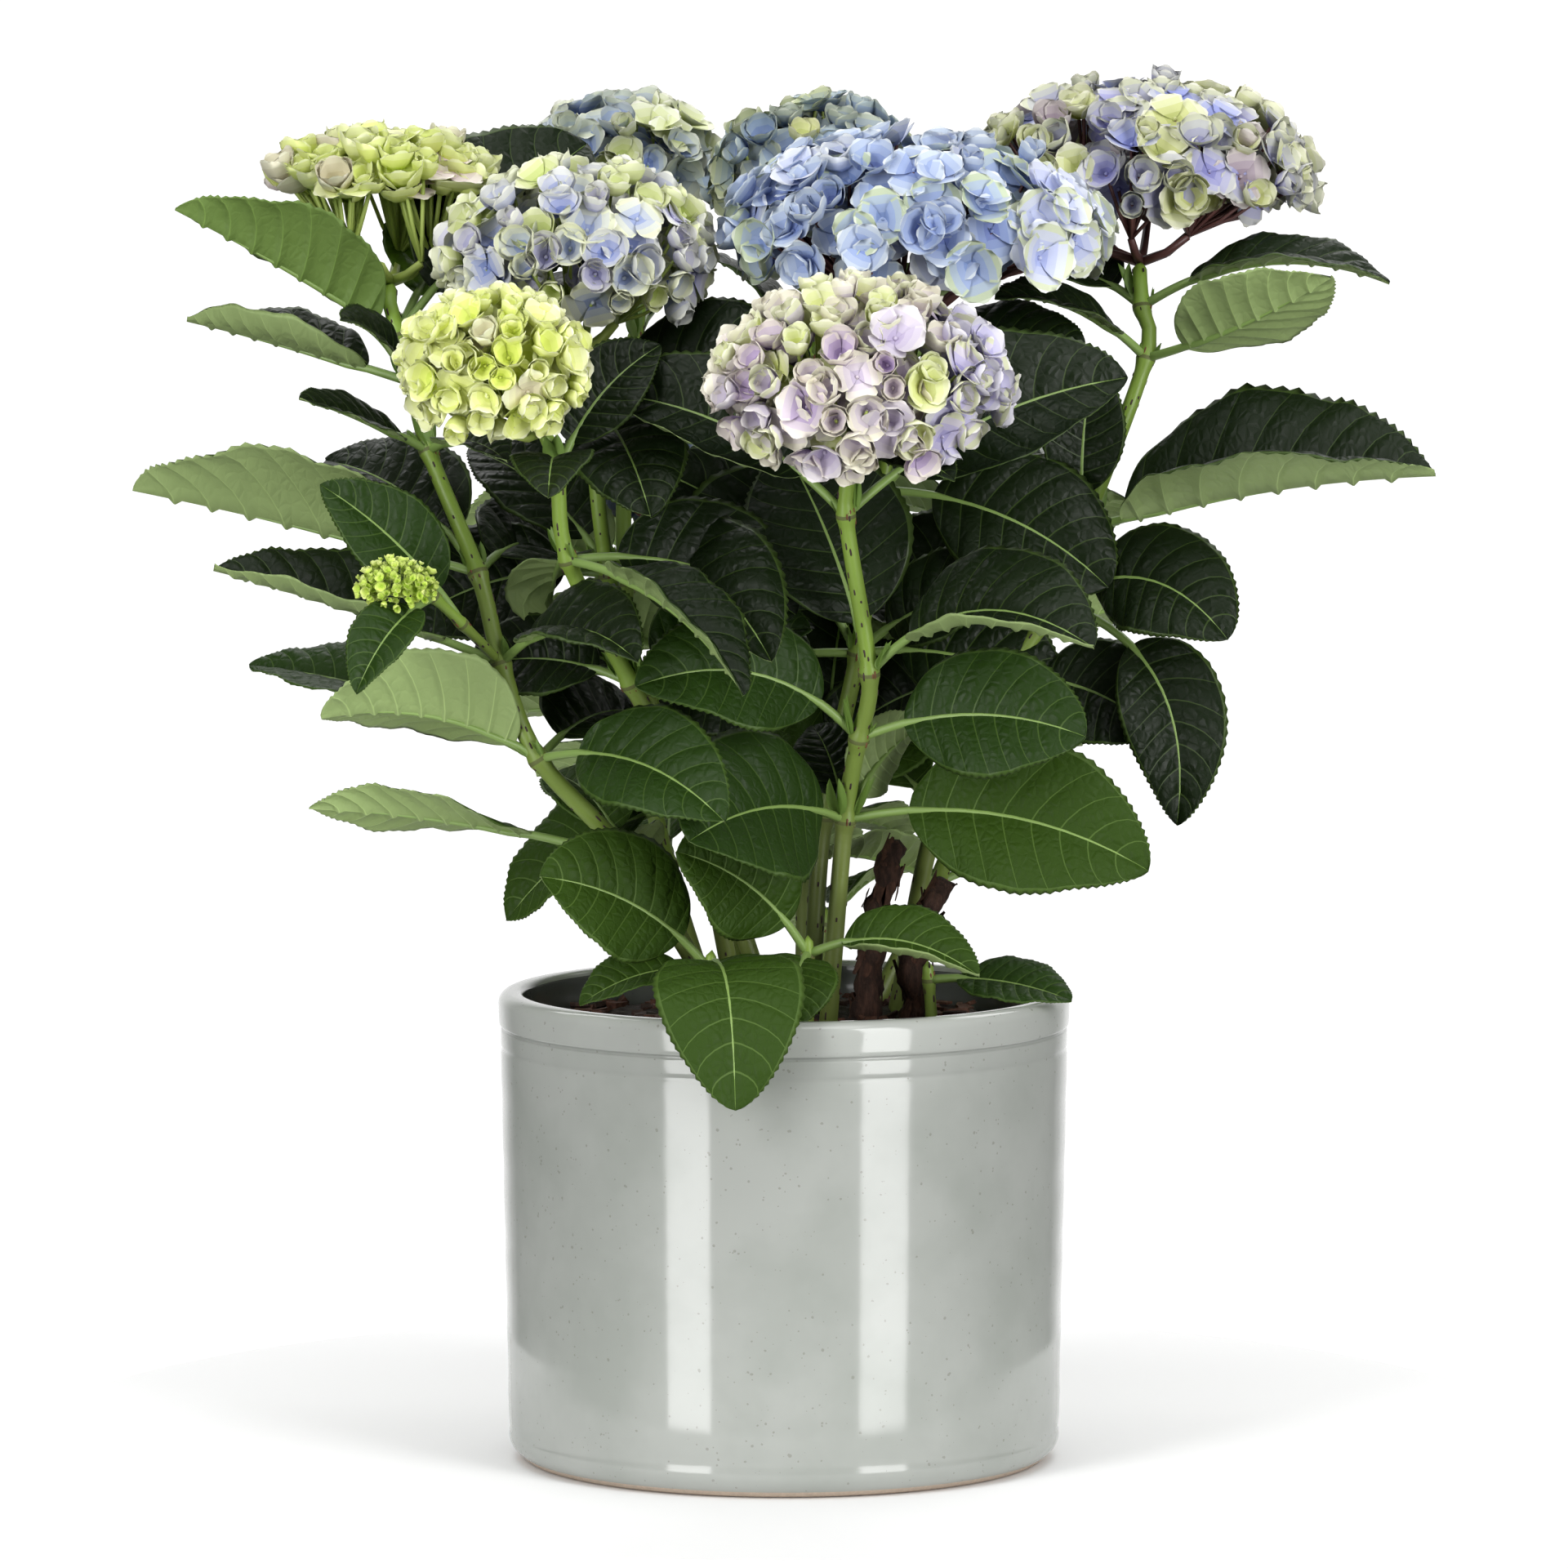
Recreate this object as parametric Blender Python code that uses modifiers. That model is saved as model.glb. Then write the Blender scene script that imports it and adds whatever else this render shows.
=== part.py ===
"""A potted hydrangea: glazed pot, soil, green shoots, leafy masses and bloom heads.

Each sub-part is one closed solid in metres, +Z up, with the origin at the middle of the pot's
flat underside. A shoot is a bough that rises from the soil, a mass of leaves that grows on from
the bough's tip, and a bloom head that grows on from the mass. Leaves stand in pairs at the
shoot's knots, and each leaf is a stalk and a folded blade that bows over the chord from its knot
to its tip. +X is the plant's right, -Y its front.
"""
import math
import random
from typing import NamedTuple

import bmesh
import bpy
from mathutils import Matrix, Vector
from mathutils.bvhtree import BVHTree

# ---- pot and soil
POT_HEIGHT = 0.140
RIM_RADIUS = 0.0853
SHOULDER_RADIUS = 0.0846
HEEL_RADIUS = 0.0824
FOOT_RADIUS = 0.0785
WALL = 0.0075
FLOOR = 0.009
BEAD_HEIGHT = 0.0105
GROOVE_DEPTH = 0.0007
GROOVE_DROP = 0.017
GROOVE_HALF = 0.0012
HEEL_HEIGHT = 0.0055
TURNING_STEPS = 36
SOIL_TOP = 0.131
SOIL_EDGE_DROP = 0.004
SOIL_CROWN = 0.060

# ---- growth
GAP = 0.0003
STRAIGHT_END = 0.004
BOUGH_SHARE = 0.78
STEM_FOOT_RADIUS = 0.0034
STEM_TOP_RADIUS = 0.0026
LOW_STEM_RADIUS = 0.0024
TWIG_RADIUS = 0.0018
LEAF_STALK_RADIUS = 0.0013
BLADE_SHARES = (0.16, 0.42, 0.68, 0.88)
BLADE_THICKNESS = 0.014
STEM_STEPS = 3
STEM_LEAD = 0.006
CLEARANCE = 0.0007
STALK_PROBE = LEAF_STALK_RADIUS * 1.5
NUDGES = ((0, 0), (0, 7), (0, -7), (9, 0), (-9, 0), (9, 9), (-9, 9), (14, -9), (-14, -9),
          (0, 16), (20, 0), (-20, 0), (0, -16), (26, 12), (-26, 12))
FRONT = Vector((0.0, -1.0, 0.0))
UP = Vector((0.0, 0.0, 1.0))

# ---- blooms
GOLDEN_ANGLE = 137.508
DOME_SWEEP = math.radians(108)
CORE_SHARE = 0.76
FLORET_ROOT = 0.66
FLORET_CUP = 0.30
RAY_RADIUS = 0.0009
RAYS = 4
CORE_UNDERSIDE = 0.35
FORK_SHARE = 0.25
RAY_SPREAD = 0.62
HEART_DROP = 0.1
FLORET_SINK = 0.2


class Leaf(NamedTuple):
    """A leaf by its chord from knot to tip, in degrees and metres, and how its blade is held."""
    bearing: float
    rise: float
    reach: float
    turn: float = 35.0
    fold: float = 16.0
    width: float = 0.62
    arch: float = 0.10
    stalk: float = 0.20
    twist: float = 0.0


class Shoot(NamedTuple):
    """A shoot by its knots, foot first, and the leaves at each knot."""
    name: str
    knots: tuple
    leaves: dict
    foot_radius: float = STEM_FOOT_RADIUS
    top_radius: float = STEM_TOP_RADIUS
    light: Vector = FRONT


class Bloom(NamedTuple):
    """A bloom head by its dome: centre, half sizes, lean, and the florets it carries."""
    name: str
    shoot: str
    centre: tuple
    reach: tuple
    lean: tuple
    florets: int
    floret_radius: float
    colour: str


LEFT = Shoot("left", (
    (-0.014, -0.026, SOIL_TOP), (-0.046, -0.036, 0.183), (-0.072, -0.042, 0.213),
    (-0.083, -0.040, 0.241), (-0.090, -0.032, 0.267), (-0.105, -0.016, 0.302),
    (-0.110, -0.012, 0.322), (-0.114, -0.010, 0.336)), {
    1: (Leaf(170, 8, 0.097, 20, 12, 0.42, 0.03, 0.30, -80), Leaf(116, 22, 0.055)),
    2: (Leaf(-164, 12, 0.067, -35, 22, 0.72, 0.10, 0.12), Leaf(-40, -11, 0.073, 55, 12, 0.62, 0.12),
        Leaf(150, 13, 0.104, 30, 20, 0.48, 0.05, 0.42)),
    3: (Leaf(177, 18, 0.089, 22, 24, 0.50, 0.02), Leaf(-41, 4, 0.064, 35, 26, 0.60, 0.16)),
    4: (Leaf(163, 12, 0.111, -12, 36, 0.54, 0.01, 0.10), Leaf(69, 0, 0.070, 60)),
    5: (Leaf(-141, 20, 0.050, 30, 14, 0.64, 0.03), Leaf(-58, -1, 0.046, 30, 18, 0.55)),
    6: (Leaf(163, 14, 0.073, 8, 22, 0.54, 0.01), Leaf(-119, 27, 0.045, 50, 14, 0.55)),
    7: (Leaf(-158, 29, 0.079, -20, 32, 0.60, 0.01, 0.10), Leaf(56, 30, 0.088, 60, 12, 0.56)),
})
LEFT_SIDE = Shoot("left_side", (
    LEFT.knots[3], (-0.094, -0.056, 0.254), (-0.102, -0.064, 0.2625)), {
    1: (Leaf(-178, 44, 0.058, 62, 20, 0.56, 0.06, 0.20),),
    2: (Leaf(-125, -28, 0.045, 40, 26, 0.55),),
}, TWIG_RADIUS, TWIG_RADIUS)
FRONT_SHOOT = Shoot("front", (
    (0.013, -0.020, SOIL_TOP), (0.018, -0.032, 0.194), (0.022, -0.042, 0.219),
    (0.025, -0.050, 0.239), (0.018, -0.062, 0.286), (0.020, -0.067, 0.302)), {
    1: (Leaf(-132, 6, 0.068, 74, 8, 0.86, 0.10, 0.14), Leaf(-13, -8, 0.092, 64, 10, 0.66)),
    2: (Leaf(-166, 5, 0.073, 66, 10, 0.66, 0.16), Leaf(-17, 2, 0.069, 66, 10, 0.74)),
    3: (Leaf(121, 53, 0.078, 60, 10, 0.80, 0.06), Leaf(-37, 8, 0.081, 44, 18, 0.66, 0.18)),
    4: (Leaf(166, 25, 0.082, 52, 16, 0.62, 0.10), Leaf(12, 25, 0.093, 58, 14, 0.66, 0.08)),
    5: (Leaf(-60, -4, 0.046, 36, 16, 0.55), Leaf(131, 7, 0.044)),
})
MID_LEFT = Shoot("mid_left", (
    (-0.013, -0.006, SOIL_TOP), (-0.027, -0.022, 0.198), (-0.045, -0.038, 0.235),
    (-0.063, -0.050, 0.272), (-0.066, -0.057, 0.297)), {
    1: (Leaf(160, -25, 0.070), Leaf(41, 12, 0.052)),
    2: (Leaf(134, -3, 0.050, -30), Leaf(27, 24, 0.050, 60)),
    3: (Leaf(100, -35, 0.055, 40, 12, 0.66, 0.20), Leaf(-44, -26, 0.080, -8, 30, 0.45)),
    4: (Leaf(-92, -4, 0.046, 10, 12, 0.66, 0.18), Leaf(33, 40, 0.050, 60)),
})
INNER_LEFT = Shoot("inner_left", (
    (-0.004, 0.010, SOIL_TOP), (-0.024, 0.005, 0.191), (-0.041, 0.000, 0.229),
    (-0.052, -0.010, 0.265), (-0.058, -0.014, 0.316)), {
    2: (Leaf(134, 10, 0.066), Leaf(-34, 21, 0.058, 60)),
    3: (Leaf(139, 25, 0.066), Leaf(-45, -23, 0.085, 66, 10, 0.62, 0.16)),
    4: (Leaf(161, 12, 0.058), Leaf(-30, 12, 0.072, 50)),
})
CENTRE = Shoot("centre", (
    (0.008, 0.020, SOIL_TOP), (0.012, 0.016, 0.190), (0.022, 0.008, 0.240),
    (0.029, 0.004, 0.289), (0.035, 0.000, 0.328)), {
    1: (Leaf(172, 48, 0.066, 60, 10, 0.66), Leaf(20, 40, 0.060, 60, 10, 0.66)),
    2: (Leaf(-164, 33, 0.084, 62, 10, 0.66), Leaf(-32, 20, 0.062, 60)),
    3: (Leaf(154, -2, 0.066), Leaf(-28, 27, 0.062, 62)),
    4: (Leaf(139, 8, 0.060), Leaf(-14, 6, 0.056, 30)),
})
RIGHT = Shoot("right", (
    (0.034, 0.022, SOIL_TOP), (0.046, 0.012, 0.191), (0.067, 0.006, 0.233),
    (0.081, 0.005, 0.256), (0.089, 0.007, 0.277), (0.108, 0.014, 0.328),
    (0.107, 0.020, 0.343)), {
    1: (Leaf(52, -30, 0.046, 40), Leaf(125, 18, 0.060)),
    2: (Leaf(-27, -17, 0.052, 70, 10, 0.84), Leaf(119, 3, 0.066)),
    3: (Leaf(-36, -8, 0.062, 66, 12, 0.76, 0.20), Leaf(-36, -56, 0.078, 62, 16, 0.60, 0.23, 0.32)),
    4: (Leaf(-23, 10, 0.113, 20, 45, 0.47, 0.03, 0.12), Leaf(70, 62, 0.052, 70, 12, 0.60)),
    5: (Leaf(-44, 20, 0.077, -38, 14, 0.62, -0.03), Leaf(-144, 12, 0.060, 26, 16, 0.55)),
    6: (Leaf(-12, 13, 0.075, 8, 20, 0.50, 0.13), Leaf(136, 10, 0.056)),
})
LOW_LEFT = Shoot("low_left", ((-0.025, -0.041, SOIL_TOP), (-0.022, -0.043, 0.151)), {
    1: (Leaf(-82, -31, 0.067, 20, 8, 0.70, 0.30, 0.16), Leaf(-157, 29, 0.061, 60, 10, 0.84),
        Leaf(-168, -14, 0.040, 30)),
}, LOW_STEM_RADIUS, TWIG_RADIUS)
LOW_FRONT = Shoot("low_front", ((0.007, -0.036, SOIL_TOP), (0.007, -0.040, 0.155)), {
    1: (Leaf(-148, 36, 0.056, 66, 10, 0.82), Leaf(-101, -32, 0.036, 40, 8, 0.80, 0.16, 0.12),
        Leaf(-24, -4, 0.055, 46, 14, 0.55, 0.14)),
}, LOW_STEM_RADIUS, TWIG_RADIUS)
LOW_RIGHT = Shoot("low_right", ((0.044, -0.016, SOIL_TOP), (0.043, -0.018, 0.145)), {
    1: (Leaf(-24, -5, 0.046, 30, 12, 0.66, 0.06), Leaf(128, 12, 0.050)),
}, LOW_STEM_RADIUS, TWIG_RADIUS)
STUBS = (
    ("woody_stub",
     ((0.024, -0.001, SOIL_TOP), (0.028, 0.000, 0.163), (0.034, 0.002, 0.184)), 0.0040),
    ("woody_stub_short",
     ((0.038, 0.000, SOIL_TOP), (0.040, -0.001, 0.158), (0.049, 0.000, 0.173)), 0.0034),
)

# ---- shoots that stand behind, whose leaves follow the rule: foot, top, bow, knots, seed, light
BACK_SHOOTS = (
    ("back_left", (-0.022, 0.026), (-0.044, 0.088, 0.338), (-0.014, 0.012), 5, 11, 110),
    ("back", (0.006, 0.040), (0.008, 0.066, 0.334), (0.000, 0.012), 4, 23, 90),
    ("back_low", (-0.012, 0.052), (-0.034, 0.116, 0.258), (0.000, 0.014), 4, 35, 95),
    ("back_right", (0.028, 0.046), (0.066, 0.102, 0.266), (0.012, 0.010), 4, 47, 70),
)
BACK_PAIR_REACH = 0.074
BACK_RISE_LOW = -6.0
BACK_RISE_HIGH = 16.0
LOW_BACK = Shoot("low_back", ((0.010, 0.064, SOIL_TOP), (0.012, 0.068, 0.152)), {
    1: (Leaf(60, 12, 0.056, 40), Leaf(150, 10, 0.052, 40), Leaf(100, -8, 0.044, 30)),
}, LOW_STEM_RADIUS, TWIG_RADIUS, -FRONT)

COLOURS = {
    "petals_lime": (0.52, 0.62, 0.12),
    "petals_blue": (0.25, 0.38, 0.75),
    "petals_sea": (0.38, 0.50, 0.60),
    "petals_lavender": (0.52, 0.52, 0.66),
    "petals_mauve": (0.55, 0.48, 0.62),
}

BLOOMS = (
    Bloom("bloom_left", "left", (-0.119, 0.016, 0.379), (0.038, 0.032, 0.021), (-90, 4),
          18, 0.0095, "petals_lime"),
    Bloom("bloom_back_left", "back_left", (-0.050, 0.096, 0.382), (0.034, 0.032, 0.028), (90, 4),
          17, 0.0100, "petals_sea"),
    Bloom("bloom_back", "back", (0.009, 0.072, 0.381), (0.034, 0.034, 0.029), (90, 4),
          18, 0.0100, "petals_sea"),
    Bloom("bloom_centre", "centre", (0.039, -0.014, 0.364), (0.060, 0.040, 0.035), (-90, 8),
          30, 0.0108, "petals_blue"),
    Bloom("bloom_inner_left", "inner_left", (-0.061, -0.020, 0.359), (0.042, 0.036, 0.031), (-90, 16),
          22, 0.0100, "petals_lavender"),
    Bloom("bloom_mid_left", "mid_left", (-0.084, -0.078, 0.330), (0.029, 0.025, 0.023), (-90, 42),
          15, 0.0085, "petals_lime"),
    Bloom("bloom_front", "front", (0.022, -0.084, 0.326), (0.045, 0.036, 0.028), (-90, 36),
          24, 0.0095, "petals_mauve"),
    Bloom("bloom_right", "right", (0.107, 0.048, 0.379), (0.052, 0.042, 0.035), (-90, 6),
          28, 0.0108, "petals_lavender"),
    Bloom("bud_cluster", "left_side", (-0.1125, -0.071, 0.2665), (0.0105, 0.0095, 0.0095), (-90, 30),
          7, 0.0042, "petals_lime"),
    Bloom("bloom_back_low", "back_low", (-0.035, 0.122, 0.288), (0.032, 0.030, 0.025), (90, 25),
          16, 0.0095, "petals_blue"),
    Bloom("bloom_back_right", "back_right", (0.070, 0.110, 0.298), (0.030, 0.028, 0.024), (70, 25),
          15, 0.0090, "petals_lavender"),
)


# ---- scene and materials

def clear_scene():
    for old in list(bpy.data.objects):
        bpy.data.objects.remove(old, do_unlink=True)


def new_collection(name):
    found = bpy.data.collections.new(name)
    bpy.context.scene.collection.children.link(found)
    return found


def finish_material(name, colour, roughness):
    made = bpy.data.materials.get(name)
    if made is None:
        made = bpy.data.materials.new(name)
        made.use_nodes = True
        shader = made.node_tree.nodes["Principled BSDF"]
        shader.inputs["Base Color"].default_value = (*colour, 1.0)
        shader.inputs["Roughness"].default_value = roughness
        shader.inputs["Metallic"].default_value = 0.0
    return made


# ---- geometry of paths

def direction(bearing, rise):
    """Unit vector at a compass bearing from +X towards +Y, lifted by rise, both in degrees."""
    flat = math.cos(math.radians(rise))
    return Vector((flat * math.cos(math.radians(bearing)),
                   flat * math.sin(math.radians(bearing)),
                   math.sin(math.radians(rise))))


def smooth_path(knots, steps):
    """Points on a smooth curve through the knots, steps to a span, and the index of each knot."""
    points = [Vector(k) for k in knots]
    before = [points[0] * 2 - points[1]] + points[:-1]
    after = points[1:] + [points[-1] * 2 - points[-2]]
    path = []
    for i in range(len(points) - 1):
        a, b = points[i], points[i + 1]
        leave = (after[i] - before[i]) / 2
        arrive = (after[i + 1] - before[i + 1]) / 2
        for step in range(steps):
            t = step / steps
            path.append(a * (2 * t ** 3 - 3 * t ** 2 + 1) + leave * (t ** 3 - 2 * t ** 2 + t)
                        + b * (3 * t ** 2 - 2 * t ** 3) + arrive * (t ** 3 - t ** 2))
    path.append(points[-1])
    return path, [i * steps for i in range(len(points))]


def leaf_point(root, leaf, t):
    """Point on the bow from knot to tip, which stands over the chord by leaf.arch at its middle."""
    chord = direction(leaf.bearing, leaf.rise)
    lift = (UP - chord * UP.dot(chord)).normalized()
    return root + chord * leaf.reach * t + lift * leaf.reach * leaf.arch * 4 * t * (1 - t)


def leaf_frame(root, leaf, t, light):
    """Place, along, across and normal at t on the leaf, the normal turned from up towards the light."""
    step = 0.01
    along = (leaf_point(root, leaf, t + step) - leaf_point(root, leaf, t - step)).normalized()
    turn = math.radians(leaf.turn + leaf.twist * t)
    normal = UP * math.cos(turn) + light * math.sin(turn)
    normal = (normal - along * normal.dot(along)).normalized()
    return leaf_point(root, leaf, t), along, normal.cross(along), normal


def blade_half_width(share):
    """Half width of a blade at a share of its length, 1 at the widest: ovate with a drawn-out tip."""
    return math.sin(math.pi * min(max(share, 0.0), 1.0) ** 0.78) ** 0.74


# ---- closed pieces, each a bmesh

def limb_mesh(path, radii):
    """A round limb along a path, from a curve whose radius follows radii, with welded caps."""
    curve = bpy.data.curves.new("limb", "CURVE")
    curve.dimensions = "3D"
    curve.bevel_depth = 1.0
    curve.bevel_resolution = 1
    curve.use_fill_caps = True
    spline = curve.splines.new("POLY")
    spline.points.add(len(path) - 1)
    for point, place, radius in zip(spline.points, path, radii):
        point.co = (*place, 1.0)
        point.radius = radius
    holder = bpy.data.objects.new("limb", curve)
    bpy.context.scene.collection.objects.link(holder)
    evaluated = holder.evaluated_get(bpy.context.evaluated_depsgraph_get())
    mesh = bpy.data.meshes.new_from_object(evaluated)
    made = bmesh.new()
    made.from_mesh(mesh)
    bmesh.ops.remove_doubles(made, verts=made.verts, dist=1e-6)
    bmesh.ops.recalc_face_normals(made, faces=made.faces)
    bpy.data.objects.remove(holder)
    bpy.data.curves.remove(curve)
    bpy.data.meshes.remove(mesh)
    return made


def rod_mesh(start, end, start_radius, end_radius, sides=3):
    """A straight tapering rod between two points."""
    made = bmesh.new()
    axis = end - start
    turn = axis.to_track_quat("Z", "X").to_matrix().to_4x4()
    place = Matrix.Translation((start + end) / 2) @ turn
    bmesh.ops.create_cone(made, cap_ends=True, cap_tris=False, segments=sides, radius1=start_radius,
                          radius2=end_radius, depth=axis.length, matrix=place)
    return made


def leaf_mesh(root, leaf, light, shares, margin=0.0):
    """A leaf: a four-sided sphere drawn out along the bow, slim where it is the stalk, then spread,
    flattened and folded at the midrib as the blade. shares are its rings' places on the bow."""
    made = bmesh.new()
    rings = len(shares) - 1
    bmesh.ops.create_uvsphere(made, u_segments=4, v_segments=rings, radius=1.0)
    length = leaf.reach * (1 - leaf.stalk)
    lift = math.tan(math.radians(leaf.fold))
    diagonals = []
    for vert in made.verts:
        ring = round(math.acos(max(-1.0, min(1.0, -vert.co.z))) / math.pi * rings)
        side, face = round(vert.co.x, 1), round(vert.co.y, 1)
        side, face = (side > 0) - (side < 0), (face > 0) - (face < 0)
        if (ring + abs(face)) % 2:
            diagonals.append(vert)
        t = shares[ring]
        place, along, across, normal = leaf_frame(root, leaf, t, light)
        share = (t - leaf.stalk) / (1 - leaf.stalk)
        half, thick, rise = LEAF_STALK_RADIUS, LEAF_STALK_RADIUS, 0.0
        if share > 0.02:
            half = length * leaf.width / 2 * blade_half_width(share)
            thick = length * BLADE_THICKNESS / 2
            rise = lift * half
        lifted = (thick + margin) * face + rise * abs(side)
        vert.co = place + across * (half + margin) * side + normal * lifted
        if ring in (0, rings):
            vert.co = place + along * margin * (1 if ring else -1)
    for quad in [f for f in made.faces if len(f.verts) == 4]:
        ends = [v for v in quad.verts if v in diagonals]
        bmesh.utils.face_split(quad, ends[0], ends[1])
    return made


def whole_leaf(root, leaf, light):
    """The leaf with its stalk, from inside its stem to its tip."""
    spread = [leaf.stalk + (1 - leaf.stalk) * share for share in BLADE_SHARES]
    return leaf_mesh(root, leaf, light, [0.0, 0.01, leaf.stalk] + spread + [1.0])


def blade_probe(root, leaf, light):
    """The blade alone with a margin all round, to test for free space."""
    spread = [leaf.stalk + (1 - leaf.stalk) * share for share in BLADE_SHARES]
    return leaf_mesh(root, leaf, light, [leaf.stalk, leaf.stalk + 0.01] + spread + [1.0], CLEARANCE)


def floret_mesh(root, tip, radius):
    """A floret: a cone whose four rim corners are its sepals and whose cap sinks to a cup."""
    made = bmesh.new()
    axis = tip - root
    depth = axis.length
    place = Matrix.Translation((root + tip) / 2) @ axis.to_track_quat("Z", "X").to_matrix().to_4x4()
    bmesh.ops.create_cone(made, cap_ends=True, cap_tris=True, segments=4, radius1=0.0, radius2=radius,
                          depth=depth)
    bmesh.ops.remove_doubles(made, verts=made.verts, dist=1e-6)
    for vert in made.verts:
        if vert.co.z > 0 and vert.co.xy.length < radius / 2:
            vert.co.z -= depth * FLORET_CUP
    bmesh.ops.transform(made, matrix=place, verts=made.verts)
    bmesh.ops.recalc_face_normals(made, faces=made.faces)
    return made


# ---- space that is already taken

class Ground:
    """The pieces that stand so far, so that what grows later keeps clear of them."""

    def __init__(self):
        self.taken = []

    def claim(self, node, piece):
        self.taken.append((node, BVHTree.FromBMesh(piece)))

    def is_free(self, piece, but_node=None):
        tree = BVHTree.FromBMesh(piece)
        return not any(tree.overlap(other) for node, other in self.taken if node != but_node)


# ---- solids

def solid(name, piece, collection, material):
    """A named object from one bmesh."""
    mesh = bpy.data.meshes.new(name)
    piece.to_mesh(mesh)
    piece.free()
    made = bpy.data.objects.new(name, mesh)
    mesh.materials.append(material)
    collection.objects.link(made)
    return made


def fuse(name, pieces, collection, material):
    """One closed solid from overlapping closed pieces, by one union on a collection."""
    operands = new_collection("operands")
    made = solid(name, pieces[0], collection, material)
    for piece in pieces[1:]:
        solid("operand", piece, operands, material)
    union = made.modifiers.new("union", "BOOLEAN")
    union.operation = "UNION"
    union.operand_type = "COLLECTION"
    union.collection = operands
    union.solver = "MANIFOLD"
    evaluated = made.evaluated_get(bpy.context.evaluated_depsgraph_get())
    fused = bpy.data.meshes.new_from_object(evaluated)
    made.modifiers.clear()
    for operand in list(operands.objects):
        bpy.data.objects.remove(operand, do_unlink=True)
    bpy.data.collections.remove(operands)
    keep_outer_shell(fused)
    made.data = fused
    made.data.name = name
    made.data.materials.clear()
    made.data.materials.append(material)
    return made


def keep_outer_shell(mesh):
    """Drops loose scraps and sealed hollows, which are the shells smaller than the main one."""
    work = bmesh.new()
    work.from_mesh(mesh)
    bmesh.ops.triangulate(work, faces=work.faces)
    unseen = set(work.verts)
    shells = []
    while unseen:
        shell, front = set(), [unseen.pop()]
        while front:
            vert = front.pop()
            shell.add(vert)
            linked = {edge.other_vert(vert) for edge in vert.link_edges} & unseen
            unseen -= linked
            front.extend(linked)
        shells.append(shell)
    shells.sort(key=len)
    scraps = [vert for shell in shells[:-1] for vert in shell]
    bmesh.ops.delete(work, geom=scraps, context="VERTS")
    work.to_mesh(mesh)
    work.free()


def turned(name, profile, collection, material):
    """A turned solid from a profile of (radius, height) that runs down its outer side."""
    work = bmesh.new()
    verts = [work.verts.new((radius, 0.0, height)) for radius, height in profile]
    for a, b in zip(verts, verts[1:]):
        work.edges.new((a, b))
    made = solid(name, work, collection, material)
    screw = made.modifiers.new("turn", "SCREW")
    screw.steps = TURNING_STEPS
    screw.render_steps = TURNING_STEPS
    screw.use_merge_vertices = True
    screw.merge_threshold = 0.00001
    made.data.shade_smooth()
    return made


# ---- sub-parts

def make_pot(collection):
    """The pot: a rim bead over a notch, one shallow groove, a slight taper and a round heel."""
    bead = POT_HEIGHT - BEAD_HEIGHT
    groove = POT_HEIGHT - GROOVE_DROP
    inner = RIM_RADIUS - WALL
    profile = [
        (0.0, FLOOR), (inner - 0.006, FLOOR), (inner - 0.001, FLOOR + 0.005),
        (inner, POT_HEIGHT - 0.003), (inner + 0.0012, POT_HEIGHT - 0.0008),
        (inner + 0.003, POT_HEIGHT), (RIM_RADIUS - 0.003, POT_HEIGHT),
        (RIM_RADIUS - 0.0008, POT_HEIGHT - 0.0014),
        (RIM_RADIUS, POT_HEIGHT - 0.0045), (RIM_RADIUS - 0.0002, bead + 0.0015),
        (SHOULDER_RADIUS - GROOVE_DEPTH, bead), (SHOULDER_RADIUS, bead - 0.0016),
        (SHOULDER_RADIUS, groove + GROOVE_HALF), (SHOULDER_RADIUS - GROOVE_DEPTH / 2, groove),
        (SHOULDER_RADIUS, groove - GROOVE_HALF), (HEEL_RADIUS, HEEL_HEIGHT * 2),
        (HEEL_RADIUS - 0.0007, HEEL_HEIGHT), (HEEL_RADIUS - 0.0019, HEEL_HEIGHT / 3),
        (FOOT_RADIUS, 0.0), (0.0, 0.0)]
    return turned("pot", profile, collection, finish_material("glaze", (0.50, 0.53, 0.50), 0.25))


def make_soil(collection):
    """The root ball: it fills the pot and is flat where the shoots stand."""
    inner = RIM_RADIUS - WALL - GAP
    profile = [
        (0.0, SOIL_TOP), (SOIL_CROWN, SOIL_TOP), (inner, SOIL_TOP - SOIL_EDGE_DROP),
        (inner - 0.001, FLOOR + GAP + 0.005), (inner - 0.006, FLOOR + GAP), (0.0, FLOOR + GAP)]
    return turned("soil", profile, collection, finish_material("soil", (0.06, 0.035, 0.02), 0.95))


def spread_radii(shoot, count, start=0.0, end=1.0):
    """Radii for count points that taper between two shares of the shoot's length."""
    shares = [start + (end - start) * i / (count - 1) for i in range(count)]
    return [shoot.foot_radius + (shoot.top_radius - shoot.foot_radius) * share for share in shares]


def grounded(path):
    """The path with a short upright start, so that the foot is cut flat just over the soil."""
    foot = path[0] + UP * GAP
    return [foot, foot + UP * STRAIGHT_END] + path[2:]


def stem_end(shoot):
    """Where a shoot's stem ends, a little past its last knot, and the way it points there."""
    top = Vector(shoot.knots[-1])
    along = (top - Vector(shoot.knots[-2])).normalized()
    return top + along * STEM_LEAD, along


def whole_path(shoot):
    """The shoot's smooth path on to the end of its stem, and the index of each knot."""
    path, at = smooth_path(shoot.knots, STEM_STEPS)
    return path + [stem_end(shoot)[0]], at


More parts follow.
